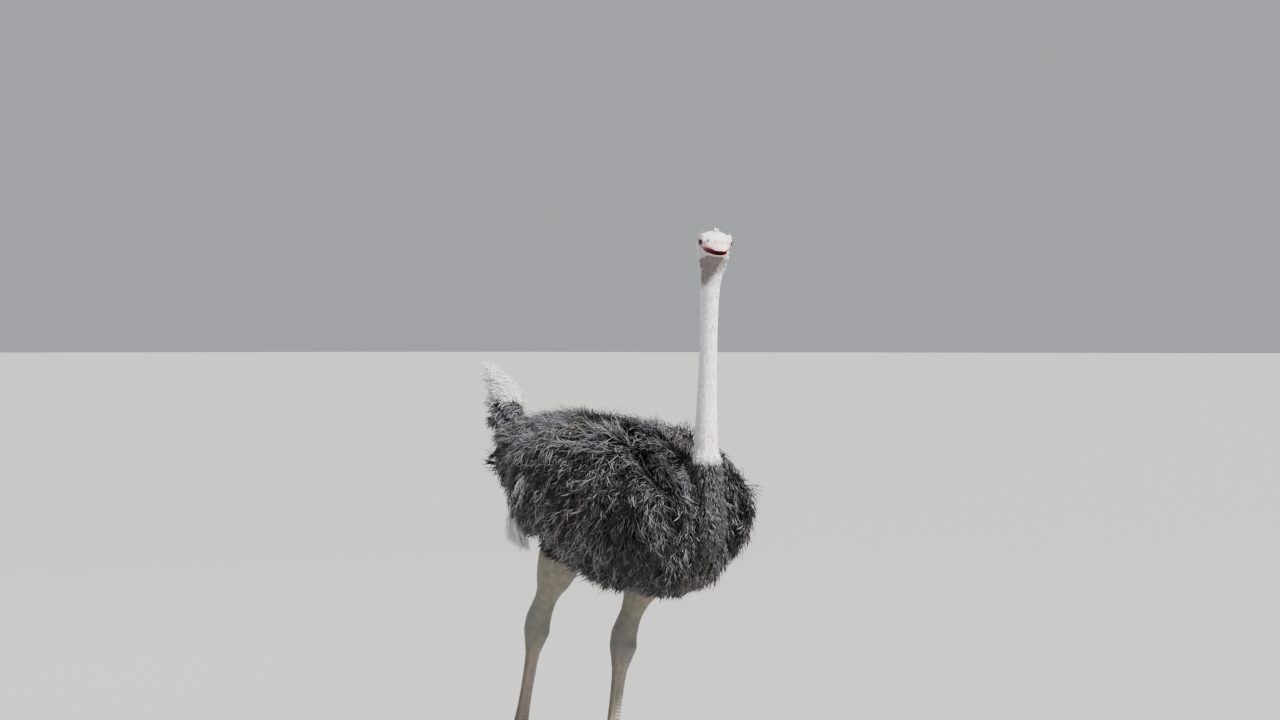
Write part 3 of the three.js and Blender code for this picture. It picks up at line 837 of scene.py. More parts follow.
def closed_grid(name, grid):
    """One closed mesh from a grid of rings, with a point at each end."""
    rings, sides, _ = grid.shape
    points = np.concatenate([grid.reshape(-1, 3), [grid[0].mean(0)], [grid[-1].mean(0)]])
    j = np.arange(sides)
    k = (j + 1) % sides
    start = (np.arange(rings - 1) * sides)[:, None]
    a, b, c, d = start + j, start + sides + j, start + sides + k, start + k
    walls = np.concatenate([np.stack([a, b, c], -1).reshape(-1, 3), np.stack([a, c, d], -1).reshape(-1, 3)])
    first, last = rings * sides, rings * sides + 1
    end = (rings - 1) * sides
    caps = np.concatenate([np.stack([np.full(sides, first), j, k], -1),
                           np.stack([np.full(sides, last), end + k, end + j], -1)])
    return triangle_mesh(name, points, np.concatenate([walls, caps]))


print("loft ready")

# %% Bill horn
def bill_finish():
    """Pale pinkish horn with fine streaks along it, a fleshy pink rim and a dark red mouth."""
    made = Finish("bill_horn", Roughness=0.42)
    streaks = made.noise(55, 4, (1, 0.25, 1))
    horn = made.mixed(made.between(streaks, 0.3, 0.7), (0.76, 0.62, 0.60), (0.66, 0.46, 0.44))
    horn = made.mixed(made.between(made.noise(330, 2), 0.60, 0.70, 0.0, 0.45), horn, (0.58, 0.26, 0.27))
    horn = made.mixed(made.stored("nail"), horn, (0.60, 0.46, 0.36))
    color = made.mixed(made.stored("lip"), horn, (0.70, 0.30, 0.34))
    color = made.mixed(made.stored("mouth"), color, (0.085, 0.014, 0.022))
    made.wear("Base Color", made.mixed(made.stored("nostril"), color, (0.07, 0.03, 0.03)))
    made.wear("Normal", made.relief(made.noise(420, 3, (1, 0.4, 1)), 0.0004, 0.5))
    return made.material


bill_horn = bill_finish()
MM = 1000  # the bill is drawn in millimetres


def bill_piece(name, grid, marks):
    mesh = closed_grid(name, from_head(grid.reshape(-1, 3) / MM).reshape(grid.shape))
    for mark, values in marks.items():
        ends = np.concatenate([values.ravel(), [values[0].mean()], [values[-1].mean()]])
        point_values(mesh, mark, ends)
    made = linked(name, mesh, bill_horn)
    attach(made, "root")
    return made


print("bill horn ready")

# %% Upper bill
UPPER = {  # edge lines as (y, z) and half widths by share of the length, in millimetres
    "top": [(-12, -6), (-28, 11), (-52, 13), (-80, 4), (-103, -7), (-115, -16), (-119, -26)],
    "bottom": [(-12, -6), (-22, -20), (-50, -21), (-80, -22), (-103, -24), (-115, -27), (-119, -26)],
    "half": [(0, 0), (0.15, 41), (0.33, 46), (0.5, 37), (0.67, 28), (0.84, 19), (0.94, 10), (1, 0)],
    "belly": 0.82,
}
grid, t, angle = bill_loft(**UPPER)
x, y = grid[:, :, 0], grid[:, :, 1]
over, under = np.clip(np.sin(angle), 0, 1), np.clip(-np.sin(angle), 0, 1)
ridge = bump(x, 0, 9) * over * step(0.02, 0.2, t) * step(0.98, 0.86, t)
fossa = bump(np.abs(x), 17, 5) * over * bump(y, -62, 24)
nostril = bump(np.abs(x), 14, 2.4) * over * step(-50, -55, y) * step(-82, -76, y)
nail_groove = bump(t + 0.05 * np.abs(x) / 20, 0.80, 0.012) * over
rim = bump(np.sin(angle), -0.05, 0.28) * step(0.02, 0.15, t)
grid[:, :, 2] += 1.3 * ridge - 1.6 * fossa - 3.2 * nostril - 0.8 * nail_groove
grid[:, :, 2] += 4.0 * under**1.5 * bump(t, 0.5, 0.33)
grid[:, :, 0] *= 1 + 0.025 * rim
upper_bill = bill_piece("upper_bill", grid, {
    "lip": step(0.38, 0.1, np.sin(angle)) * np.ones_like(x),
    "mouth": step(-0.20, -0.45, np.sin(angle)) * np.ones_like(x),
    "nail": step(0.78, 0.83, t) * over,
    "nostril": nostril,
})
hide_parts("bill_upper")
print("upper bill", len(upper_bill.data.polygons), "faces")

# %% Lower bill
LOWER = {  # drawn shut, in the same way
    "top": [(-6, -26), (-28, -23), (-60, -24), (-92, -26), (-107, -29), (-112, -32)],
    "bottom": [(-6, -26), (-22, -40), (-58, -42), (-90, -39), (-105, -36), (-112, -32)],
    "half": [(0, 0), (0.18, 42), (0.4, 41), (0.62, 31), (0.84, 19), (0.95, 9), (1, 0)],
    "belly": 0.25,
}
HINGE = {"y": -6, "z": -26, "open": 6.0}  # mm and degrees
grid, t, angle = bill_loft(**LOWER)
x = grid[:, :, 0]
over, under = np.clip(np.sin(angle), 0, 1), np.clip(-np.sin(angle), 0, 1)
mouth_hollow = 5.0 * over**1.3 * bump(t, 0.45, 0.3)
jaw_lines = 0.9 * bump(np.abs(x), 13, 2.0) * under * bump(t, 0.55, 0.3)
nail_groove = 0.9 * bump(t, 0.80, 0.012) * -under
for depth in (mouth_hollow, jaw_lines, nail_groove):
    grid[:, :, 2] -= depth
swing = math.radians(HINGE["open"])
y, z = grid[:, :, 1] - HINGE["y"], grid[:, :, 2] - HINGE["z"]
grid[:, :, 1] = HINGE["y"] + y * math.cos(swing) - z * math.sin(swing)
grid[:, :, 2] = HINGE["z"] + y * math.sin(swing) + z * math.cos(swing)
lower_bill = bill_piece("lower_bill", grid, {
    "lip": step(-0.45, -0.05, np.sin(angle)) * np.ones_like(x),
    "mouth": step(0.30, 0.60, np.sin(angle)) * np.ones_like(x),
    "nail": step(0.78, 0.83, t) * under,
    "nostril": np.zeros_like(x),
})
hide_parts("bill_lower")
print("lower bill", len(lower_bill.data.polygons), "faces")

# %% [markdown]
# ## Eyes
# Each eyeball is a ball with a bulge over the iris. A separate clear shell for the cornea would be truer,
# but the lids hide its edge, so one ball does both: its dark brown iris and black pupil are set by the
# angle from the gaze, and a clear coat makes the wet highlight.

# %% Eyeballs
def eye_finish():
    made = Finish("eyeball", Roughness=0.5, Specular_IOR_Level=0.15, Coat_Weight=0.5, Coat_Roughness=0.03)
    rays = made.noise(900, 2)
    iris = made.mixed(made.between(rays, 0.35, 0.65), (0.040, 0.016, 0.008), (0.014, 0.007, 0.005))
    color = made.mixed(made.stored("iris"), (0.030, 0.020, 0.018), iris)
    made.wear("Base Color", made.mixed(made.stored("pupil"), color, (0.002, 0.002, 0.002)))
    return made.material


eyeball_finish = eye_finish()
BALL_SHARE = 0.985  # of the CAD eye's radius, so that the lids close over it
CORNEA_RISE = 0.0011  # metres
for side, name in ((1, "left"), (-1, "right")):
    centre, gaze, _, _ = eye_axes(side)
    ball = bmesh.new()
    bmesh.ops.create_icosphere(ball, subdivisions=4, radius=1)
    mesh = bpy.data.meshes.new(f"eyeball_{name}")
    ball.to_mesh(mesh)
    ball.free()
    way = unit(vertex_array(mesh))
    off_gaze = np.arccos(np.clip(way @ gaze, -1, 1))
    radius = EYE["radius"] * BALL_SHARE + CORNEA_RISE * step(0.52, 0.15, off_gaze)
    set_vertices(mesh, from_head(centre + way * radius[:, None]))
    point_values(mesh, "iris", step(0.86, 0.80, off_gaze))
    point_values(mesh, "pupil", step(0.32, 0.28, off_gaze))
    mesh.shade_smooth()
    eyeball = linked(f"eyeball_{name}", mesh, eyeball_finish)
    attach(eyeball, "root")
    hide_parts(f"eye_{name}")
print("eyeballs", round(EYE["radius"] * 2000), "mm across")

# %% [markdown]
# ## Plumage
# Ostrich plumes have no hooks on their barbs, so the coat hangs in loose curly locks. Particle hair would
# be lost on export, so each barb bundle is a solid tuft: a thin three-sided blade that tapers to a point,
# bent along the lie of the coat. Tufts that share a lock share its turn, curl, lift and shade, and their
# tips draw together. Each tuft also carries a tiny patch of a map of the skin's own shape, so that its
# colour can be kept with the mesh.

# %% A map of the skin's shape
PATCH = 0.003  # each tuft's share of the map's side
MAP_FACES = 5000


def skin_map(source, faces):
    """A coarse copy of the skin, unwrapped: its tree of faces, and its corners in space and on the map."""
    coarse = linked("coarse", source.copy())
    thin = coarse.modifiers.new("thin", "DECIMATE")
    thin.ratio = faces / len(source.polygons)
    thinned = bpy.data.meshes.new_from_object(coarse.evaluated_get(bpy.context.evaluated_depsgraph_get()))
    coarse.modifiers.clear()
    coarse.data = thinned
    bpy.context.view_layer.objects.active = coarse
    for each in bpy.context.view_layer.objects:
        each.select_set(each == coarse)
    bpy.ops.object.mode_set(mode="EDIT")
    bpy.ops.mesh.select_all(action="SELECT")
    bpy.ops.mesh.quads_convert_to_tris()
    bpy.ops.uv.smart_project(angle_limit=math.radians(66), island_margin=0.002)
    bpy.ops.object.mode_set(mode="OBJECT")
    mesh = coarse.data
    corner_uv = np.empty(len(mesh.loops) * 2, np.float32)
    mesh.uv_layers.active.data.foreach_get("uv", corner_uv)
    corner_point = np.empty(len(mesh.loops), np.int32)
    mesh.loops.foreach_get("vertex_index", corner_point)
    corner_point = corner_point.reshape(-1, 3)
    places = vertex_array(mesh)
    tree = BVHTree.FromPolygons(places.tolist(), corner_point.tolist())
    bpy.data.objects.remove(coarse)
    return tree, places[corner_point], corner_uv.reshape(-1, 3, 2)


map_tree, map_corners, map_uv = skin_map(base, MAP_FACES)
print("skin map faces:", len(map_uv))


def map_spots(roots):
    """Where each root lies on the skin's map."""
    found = [map_tree.find_nearest(p) for p in roots.tolist()]
    face = np.array([f[2] for f in found])
    place = np.array([tuple(f[0]) for f in found])
    a, b, c = map_corners[face].transpose(1, 0, 2)
    ab, ac, ap = b - a, c - a, place - a
    d00, d01, d11 = (ab * ab).sum(1), (ab * ac).sum(1), (ac * ac).sum(1)
    d20, d21 = (ap * ab).sum(1), (ap * ac).sum(1)
    scale = np.maximum(d00 * d11 - d01 * d01, 1e-18)
    v = np.clip((d11 * d20 - d01 * d21) / scale, 0, 1)[:, None]
    w = np.clip((d00 * d21 - d01 * d20) / scale, 0, 1)[:, None]
    ua, ub, uc = map_uv[face].transpose(1, 0, 2)
    return ua + (ub - ua) * v + (uc - ua) * w


# %% Tufts
MOST_FACES = 190_000  # in one piece


def tuft_mesh(name, tufts, rings):
    """Closed blades: `path` holds each tuft's points from root to tip, `width` its half widths."""
    path, width, normal = tufts["path"], tufts["width"], tufts["normal"]
    count = len(path)
    along = unit(path[:, 1:] - path[:, :-1])
    side = unit(np.cross(along, normal[:, None, :]))
    top = np.cross(side, along)
    flat = tufts["flat"]
    ring = np.stack([path[:, :-1] + top * width[:, :, None] * flat,
                     path[:, :-1] + side * width[:, :, None],
                     path[:, :-1] - side * width[:, :, None]], 2)
    points = np.concatenate([ring.reshape(count, rings * 3, 3), path[:, -1:]], 1)
    faces = [(0, 2, 1)]
    for k in range(rings - 1):
        for j in range(3):
            a, b = 3 * k + j, 3 * k + (j + 1) % 3
            faces += [(a, b, b + 3), (a, b + 3, a + 3)]
    faces += [(3 * (rings - 1) + j, 3 * (rings - 1) + (j + 1) % 3, 3 * rings) for j in range(3)]
    size = 3 * rings + 1
    faces = (np.array(faces)[None] + np.arange(count)[:, None, None] * size).reshape(-1, 3)
    mesh = triangle_mesh(name, points.reshape(-1, 3), faces)
    share = np.append(np.repeat(np.arange(rings) / rings, 3), 1.0)
    point_values(mesh, "along", np.tile(share, count))
    point_values(mesh, "shade", np.repeat(tufts["shade"], size))
    corner = np.append(np.tile([0.5, 0.0, 1.0], rings), 0.5)
    patch = np.stack([share - 0.5, corner - 0.5], 1) * PATCH
    spots = map_spots(tufts["root"])[:, None, :] + patch[None]
    uv = mesh.uv_layers.new(name="OFBake")
    uv.data.foreach_set("uv", spots.reshape(-1, 2)[faces.ravel()].astype(np.float32).ravel())
    return mesh


def tuft_pieces(name, tufts, finish):
    """The tufts as one or more joined meshes of a moderate size."""
    rings = tufts["width"].shape[1]
    count = len(tufts["path"])
    most = MOST_FACES // (6 * rings - 2)
    parts = -(-count // most)
    made = []
    for i, chosen in enumerate(np.array_split(np.arange(count), parts)):
        part = {key: value[chosen] if isinstance(value, np.ndarray) else value
                for key, value in tufts.items()}
        label = name if parts == 1 else f"{name}_{i + 1}"
        piece = linked(label, tuft_mesh(label, part, rings), finish)
        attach(piece, "root")
        made.append(piece)
    total = sum(len(p.data.polygons) for p in made)
    print(name, count, "tufts,", total, "faces in", parts, "piece" + "s" * (parts > 1))
    return made


BLADE_FLATNESS = 0.45
ROOT_DEPTH = 0.002  # metres under the skin


def grown(root, normal, lie, length, width, lift, curl, hook, shade, rings=3, pull=None, sag=0.0,
          stem=None, kink=0.0):
    """Bends each tuft from its root: `lift` off the skin, `curl` to its side, `hook` outwards at its tip.

    `sag` pulls it down towards its tip, and `pull` moves its tip towards the middle of its lock. `stem` is
    the share of its length before the first bend, and `kink` how much each later bend strays.
    """
    side = unit(np.cross(normal, lie))
    lie = unit(np.cross(side, normal))
    first = 1 / rings if stem is None else stem
    at = root - normal * ROOT_DEPTH
    path, reached = [at], 0.0
    for k in range(rings):
        part = first if k == 0 else (1 - first) / (rings - 1)
        t = reached + part / 2
        stray, lean = random.normal(0, kink * (k > 0), (2, len(root)))
        rise = lift * (1 - t) ** 1.4 + hook * t * t + lean
        way = lie + normal * rise[:, None] + side * (curl * t + stray)[:, None]
        way = unit(unit(way) + np.array([0, 0, -1.0]) * sag * t)
        at = at + way * (length * part)[:, None]
        path.append(at)
        reached += part
    path = np.stack(path, 1)
    if pull is not None:
        path += pull[:, None, :] * ((np.arange(rings + 1) / rings) ** 1.3)[None, :, None]
    t = np.arange(rings) / rings
    taper = (1 - t**2) * (0.55 + 0.9 * t)
    return {"root": root, "path": path, "width": width[:, None] * taper[None, :], "normal": normal,
            "shade": np.clip(shade, 0, 1), "flat": BLADE_FLATNESS}


print("tuft helpers ready")

# %% Choosing roots on the skin
skin_points = vertex_array(base)
skin_normals = normal_array(base)
skin_triangles = triangle_array(base)
corner_a, corner_b, corner_c = (skin_points[skin_triangles[:, i]] for i in range(3))
skin_areas = np.linalg.norm(np.cross(corner_b - corner_a, corner_c - corner_a), axis=1) / 2


def read_values(mesh, name):
    values = np.empty(len(mesh.vertices), np.float32)
    mesh.attributes[name].data.foreach_get("value", values)
    return values.astype(float)


coat_depth = read_values(base, "coat_depth")
fold_painted_shade = read_values(base, "fold")
random = np.random.default_rng(12)


def rooted(count, density):
    """Evenly scattered roots where the density, a value per skin point, allows."""
    weight = skin_areas * density[skin_triangles].mean(1)
    total = np.cumsum(weight)
    pick = np.searchsorted(total, (np.arange(count) + random.random(count)) / count * total[-1])
    pick = np.minimum(pick, len(weight) - 1)
    u, v = random.random((2, count, 1))
    fold = u + v > 1
    u, v = np.where(fold, 1 - u, u), np.where(fold, 1 - v, v)
    a, b, c = skin_triangles[pick].T
    place = skin_points[a] * (1 - u - v) + skin_points[b] * u + skin_points[c] * v
    normal = unit(skin_normals[a] * (1 - u - v) + skin_normals[b] * u + skin_normals[c] * v)
    return place, normal, coat_depth[a], fold_painted_shade[a]


def locks(place, per_lock):
    """Groups roots round scattered leaders: each root's lock number, and its leader's place."""
    leaders = place[random.permutation(len(place))[: max(1, len(place) // per_lock)]]
    tree = KDTree(len(leaders))
    for i, leader in enumerate(leaders.tolist()):
        tree.insert(leader, i)
    tree.balance()
    lock = np.array([tree.find(p)[1] for p in place.tolist()])
    return lock, leaders


def turned(lie, normal, angle):
    side = np.cross(normal, lie)
    return lie * np.cos(angle)[:, None] + side * np.sin(angle)[:, None]


print("skin area", round(float(skin_areas.sum()), 2), "m2")

# %% [markdown]
# ### How plumes lie
# Plumes run back along the spine, down and back over the wings, and straight down on the breast. One rule
# for the way at any place is easier to steer than combing by hand, and the same rule serves both sides of
# the bird.

# %% The lie of the body plumes
def body_lie(place, normal):
    """Back along the spine, down and back over the wings, straight down on the breast and neck."""
    _, _, along, inner = fold_at(place + normal * 0.035)
    x, y, z = place.T
    over_back = step(0.25, 0.8, normal[:, 2])
    behind = step(-0.42, 0.25, y)
    way = np.zeros_like(place)
    way[:, 1] = 0.12 + 0.55 * behind + 0.9 * over_back + 0.8 * step(-0.3, -0.9, normal[:, 2])
    way[:, 2] = -1.0 + 0.4 * over_back
    way[:, 0] = 0.35 * np.sign(x) * over_back
    way += (1.6 * along - way) * inner[:, None]
    way -= (way * normal).sum(1, keepdims=True) * normal
    return unit(way)


print("share of the fold's bank:", round(float(fold_at(skin_points)[3].mean()), 3))

# %% One kind of plume over one region
def plumage(name, count, density, per_lock, length, width, *, curl, hook, swirl, sag, shade, lift=0.85,
            finish=black_plumage, lie=body_lie, rings=3, draw=0.55, stem=None, kink=0.0,
            glint=0.6, fold_cut=0.0):
    """Tufts of one kind, scattered by `density` and gathered into locks; the fold shortens them and gives
    them painted shade.

    `draw` is how far the tips gather, `glint` the share of tufts with a painted highlight, and `fold_cut`
    how much shorter the tufts are in the fold.
    """
    place, normal, depth, painted_fold_shade = rooted(count, density)
    room, tint = 1.0, 1.0
    if lie is body_lie:
        seen = place + normal * (0.8 * depth)[:, None] + lie(place, normal) * 0.5 * length
        painted_shade_over_fold, _, _, inner = fold_at(seen)
        painted_fold_shade = np.maximum(painted_shade_over_fold, 0.6 * painted_fold_shade)
        room = np.clip(depth / DEPTH["body"], 0.6, 1) * (1 - fold_cut * painted_fold_shade)
        # painted shade in the fold, and painted light that makes its inner bank a little lighter
        tint = (1 - 0.97 * painted_fold_shade) * (1 + 0.25 * inner)
        lift = lift * (1 - 0.4 * inner)
    lock, leaders = locks(place, per_lock)
    many = len(leaders)
    way = lie(place, normal)
    eddy = wave(place, 0.42, 21) * swirl
    way = turned(way, normal, eddy + random.normal(0, 0.30, many)[lock] + random.normal(0, 0.14, count))
    # painted highlights: a share of the tufts, larger in some locks, gets a lighter tone, as if lit
    lit = random.random(count) < glint + 0.8 * glint * (random.random(many)[lock] - 0.5)
    painted_light, dim = 0.5 + 0.4 * random.random(count), 0.12 + 0.28 * random.random(count)
    tone = shade[0] + (shade[1] - shade[0]) * np.where(lit, painted_light, dim)
    pull = (leaders[lock] - place) * draw
    pull -= (pull * normal).sum(1, keepdims=True) * normal
    return tuft_pieces(name, grown(
        place, normal, way,
        length * room * random.uniform(0.75, 1.15, many)[lock] * random.uniform(0.85, 1.1, count),
        width * random.uniform(0.7, 1.25, count),
        lift * random.uniform(0.8, 1.15, many)[lock] * (1 + 0.6 * step(0.2, 0.8, normal[:, 2])),
        random.normal(0, curl * 0.8, many)[lock] + random.normal(0, curl * 0.4, count),
        hook * random.normal(0.6, 1.0, many)[lock] + random.normal(0, 0.15, count),
        tone * tint, rings, pull, sag=sag, stem=stem, kink=kink), finish)


print("plume helper ready")

# %% Regions of the body
x, y, z = skin_points.T
nz = skin_normals[:, 2]
belongs = group_weights(skin_points, edge_array(base), 6)
body = (belongs["body"] > 0.5).astype(float)
regions = {
    "breast": body * (y < -0.30),
    "back": body * (y >= -0.30) * (nz > 0.55),
    "belly": body * (y >= -0.30) * (nz < -0.5),
    "flank_left": body * (y >= -0.30) * (nz <= 0.55) * (nz >= -0.5) * (x > 0),
    "flank_right": body * (y >= -0.30) * (nz <= 0.55) * (nz >= -0.5) * (x <= 0),
}
area = {name: float((skin_areas * part[skin_triangles].mean(1)).sum()) for name, part in regions.items()}
print({name: round(a, 2) for name, a in area.items()})

# %% [markdown]
# ### Black plumage
# The male's coat is black and shaggy. One layer could cover the body, but it would take far more curls to
# hide the skin. So an under layer of broad tufts closes the coat, kept near black as painted shade deep in
# the coat, and narrower, kinked curls lie over it. They are longer and stand higher on the back, and hang
# close on the breast. The base of the neck is a column of shorter, straighter plumes.

# %% Under layer and curls
UNDER_PER_M2, CURLS_PER_M2 = 6_500, 13_000
# painted light and shade: the curls of each region are made lighter or darker as light falls on it
CURL = {
    "breast": {"long": 0.080, "lift": 0.65, "painted_light": 0.80},
    "back": {"long": 0.120, "lift": 1.15, "painted_light": 0.80},
    "belly": {"long": 0.088, "lift": 0.75, "painted_light": 1.10},
    "flank": {"long": 0.088, "lift": 0.75, "painted_light": 1.25},
}
for name, part in regions.items():
    kind = CURL[name.split("_")[0]]
    # painted shade: the under layer's tones stay near black, darker than the curls'
    plumage(f"under_{name}", int(area[name] * UNDER_PER_M2), part, per_lock=7, length=0.090,
            width=0.0038, curl=0.9, hook=0.1, swirl=0.35, sag=0.25, shade=(0.0, 0.08))
    plumage(f"curls_{name}", int(area[name] * CURLS_PER_M2), part, per_lock=5, length=kind["long"],
            width=0.0020, curl=1.3, hook=0.1, swirl=0.35, sag=0.35, shade=(0.03, kind["painted_light"]),
            lift=kind["lift"], rings=5, stem=0.30, kink=0.50, glint=0.5, fold_cut=0.5)

# %% Column of the neck
column = (belongs["column"] > 0.5).astype(float)
plumage("plumage_neck_column", 4000, column, per_lock=5, length=0.058, width=0.0020,
        curl=0.4, hook=0.25, swirl=0.15, sag=0.25, shade=(0.08, 0.6), lift=0.7, glint=0.35)

# %% [markdown]
# ### White collar and neck down
# The long neck is nearly bare: short white down lies along it, thin enough for the skin to show. A pale
# finish alone would be quicker, but the outline of the neck would look shaved. The down ends below in a
# ragged white collar that hangs over the black plumes.

# %% Neck down and collar
def down_lie(place, normal):
    way = np.tile([0.0, 0.0, -1.0], (len(place), 1))
    way -= (way * normal).sum(1, keepdims=True) * normal
    return unit(way)


throat_tan_and_painted_shade = read_values(base, "throat_tan_and_painted_shade")
bare = (belongs["neck"] > 0.5) * (1 - 0.9 * throat_tan_and_painted_shade)
plumage("down_neck", 10500, bare, per_lock=4, length=0.013, width=0.0006,
        curl=0.5, hook=0.2, swirl=0.2, sag=0.1, shade=(0.3, 1), lift=0.6,
        finish=neck_down, lie=down_lie, rings=2)
COLLAR_HEIGHT = 1.250
by_neck = (belongs["neck"] + belongs["column"] > 0.5) * (np.hypot(x, y + 0.50) < 0.075)
collar = bump(z, COLLAR_HEIGHT, 0.018) * by_neck
plumage("down_collar", 2600, collar, per_lock=6, length=0.033, width=0.0011,
        curl=0.6, hook=0.3, swirl=0.2, sag=0.3, shade=(0.4, 1), lift=0.35,
        finish=white_plumage, lie=down_lie)

# %% [markdown]
# ### Tail and white wing plumes
# Here whole feathers show: a bright shaft with soft barbs on both sides. A flat sheet in the outline of a
# feather is the usual short cut, but edge on it would look like paper. So each feather is grown from a
# curved shaft, whose barbs droop to one side under their weight.

# %% Feathers on a shaft
def arc(start, middle, end, steps):
    t = np.linspace(0, 1, steps)[:, None]
    return np.array(start) * (1 - t) ** 2 + 2 * np.array(middle) * t * (1 - t) + np.array(end) * t * t


def feather(shaft, barb, width, droop, spread, normal, first, last=1.0, shade=(0.4, 1.0)):
    """Barbs on both sides of a shaft, from its share `first` to its share `last`.

    `droop` is the way they hang, `spread` how far they stand out, and `normal` points out of the feather's
    face.
    """
    steps = len(shaft)
    along = unit(np.gradient(shaft, axis=0))
    t = np.linspace(0, 1, steps)
    use = (t > first) & (t <= last)
    side = unit(np.cross(along, normal))
    parts = []
    for sign in (1, -1):
        root = shaft[use] + random.normal(0, 0.0012, (use.sum(), 3))
        count = len(root)
        stray = random.normal(0, 0.26, (count, 3))
        way = unit(along[use] * 0.7 + sign * side[use] * spread + np.array(droop) + stray)
        out = unit(np.cross(np.cross(way, normal), way))
        swell = 0.45 + 0.75 * np.sin(np.pi * np.clip(t[use] * 0.85 + 0.1, 0, 1))
        reach = barb * swell * random.uniform(0.7, 1.15, count)
        tone = shade[0] + (shade[1] - shade[0]) * random.random(count)
        parts.append(grown(root, out, way, reach, np.full(count, width), np.full(count, 0.1),
                           random.normal(0, 0.7, count), random.normal(0, 0.35, count), tone, sag=0.55))
    return parts


def gathered(parts):
    together = {}
    for key, value in parts[0].items():
        together[key] = np.concatenate([p[key] for p in parts]) if isinstance(value, np.ndarray) else value
    return together


def shaft_tufts(shafts, width, normal):
    """The bright shafts themselves, nearly round."""
    path = np.stack(shafts)
    rings = path.shape[1] - 1
    t = np.arange(rings) / rings
    many = len(path)
    return {"root": path[:, 0], "path": path, "width": np.tile(width * (1 - 0.85 * t), (many, 1)),
            "normal": np.tile(normal, (many, 1)).astype(float), "shade": np.ones(many), "flat": 0.8}


print("feather helpers ready")

# %% Tail
TAIL_ROOT = np.array([0, 0.445, 1.330])
WHITE_FROM = 1.43  # the height above which the tail is white
BARBS = 150  # along each side of a tail shaft
WHITE_SHAFTS, DARK_SHAFTS = 28, 56
TAIL_UP = (0.0, -0.7, 0.7)  # out of the upper side of the tail
white, dark, shafts = [], [], []
for i in range(WHITE_SHAFTS):
    share = i / (WHITE_SHAFTS - 1)
    aside = random.uniform(-1, 1)
    root = TAIL_ROOT + [0.030 * aside, 0.02 * share, 0.02 - 0.02 * share]
    tip = np.array([0.036 * aside, 0.645 - 0.040 * share, 1.595 - 0.145 * share]) + random.normal(0, 0.005, 3)
    bend = root * 0.45 + tip * 0.55 + [0.03 * aside, -0.045 + 0.02 * share, 0.036]
    shaft = arc(root, bend, tip, BARBS)
    turn = float(np.mean(shaft[:, 2] < WHITE_FROM + random.normal(0, 0.010)))
    shafts.append(shaft[np.linspace(int(turn * (BARBS - 2)), BARBS - 1, 9).astype(int)])
    white += feather(shaft, barb=0.042, width=0.0014, droop=(0, 0.25, -0.15), spread=0.42, normal=TAIL_UP,
                     first=turn)
    dark += feather(shaft[::2], barb=0.045, width=0.0020, droop=(0, 0.25, -0.6), spread=0.8, normal=TAIL_UP,
                    first=0.1, last=turn, shade=(0.0, 1.0))
for i in range(DARK_SHAFTS):
    share = random.random()
    aside = random.uniform(-1, 1)
    root = TAIL_ROOT + [0.050 * aside, 0.03 * random.random(), -0.02 - 0.08 * share]
    tip = np.array([0.070 * aside, 0.592 - 0.082 * share, 1.435 - 0.22 * share]) + random.normal(0, 0.008, 3)
    bend = root * 0.45 + tip * 0.55 + [0.02 * aside, -0.02, 0.045]
    dark += feather(arc(root, bend, tip, 44), barb=0.045, width=0.0022, droop=(0, 0.30, -0.75), spread=0.6,
                    normal=(0.0, -0.5, 0.8), first=0.05, shade=(0.0, 1.0))
tail = tuft_pieces("tail_plumes_white", gathered(white), white_plumage)
tail += tuft_pieces("tail_plumes_dark", gathered(dark), black_plumage)
quills = shaft_tufts(shafts, width=0.0009, normal=TAIL_UP)
tail += tuft_pieces("tail_shafts", quills, white_plumage)
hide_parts("tail")

# %% Wing plumes
PLUMES, WISPS = 30, 6  # plumes under each wing, and loose wisps higher up on the flank
for side, name in ((1, "left"), (-1, "right")):
    white, shafts = [], []
    for i in range(PLUMES):
        share = i / (PLUMES - 1)
        root = np.array([side * (0.235 + 0.02 * random.random()), 0.185 + 0.06 * share, 1.125 - 0.04 * share])
        tip_x = side * (0.250 + random.normal(0, 0.014))
        tip = np.array([tip_x, 0.295 - 0.105 * share, 0.930 - 0.055 * share])
        bend = root * 0.4 + tip * 0.6 + [0, 0.055 - 0.03 * share, 0.03]
        shaft = arc(root, bend, tip, 54)
        shafts.append(shaft[::8])
        white += feather(shaft, barb=0.050, width=0.0018, droop=(0, 0.30, -0.75), spread=0.4,
                         normal=(side * 0.9, 0.3, 0.2), first=0.05, shade=(0.35, 1.0))
    for _ in range(WISPS):
        root = np.array([side * 0.316, 0.100 + 0.055 * random.random(), 1.200 - 0.06 * random.random()])
        tip = root + [side * 0.018, 0.040 + 0.03 * random.random(), -0.06 - 0.05 * random.random()]
        shaft = arc(root, (root + tip) / 2 + [side * 0.014, 0.01, 0], tip, 10)
        white += feather(shaft, barb=0.030, width=0.0008, droop=(0, 0.3, -1.1), spread=0.3,
                         normal=(side, 0.2, 0.1), first=0.15, shade=(0.0, 0.7))
    plumes = tuft_pieces(f"white_plumes_{name}", gathered(white), white_plumage)
    quills = shaft_tufts(shafts, width=0.0013, normal=(side, 0, 0))
    tuft_pieces(f"plume_shafts_{name}", quills, white_plumage)
    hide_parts(f"wing_plumes_{name}")

# %% [markdown]
# ### Bristles of the head
# The bare-looking head is dusted with short hair-like feathers, longer on the crown and behind the cheeks,
# and dark lashes stand along the upper lids. A rough finish could stand for the shortest, but only real
# bristles break up the outline of the head.

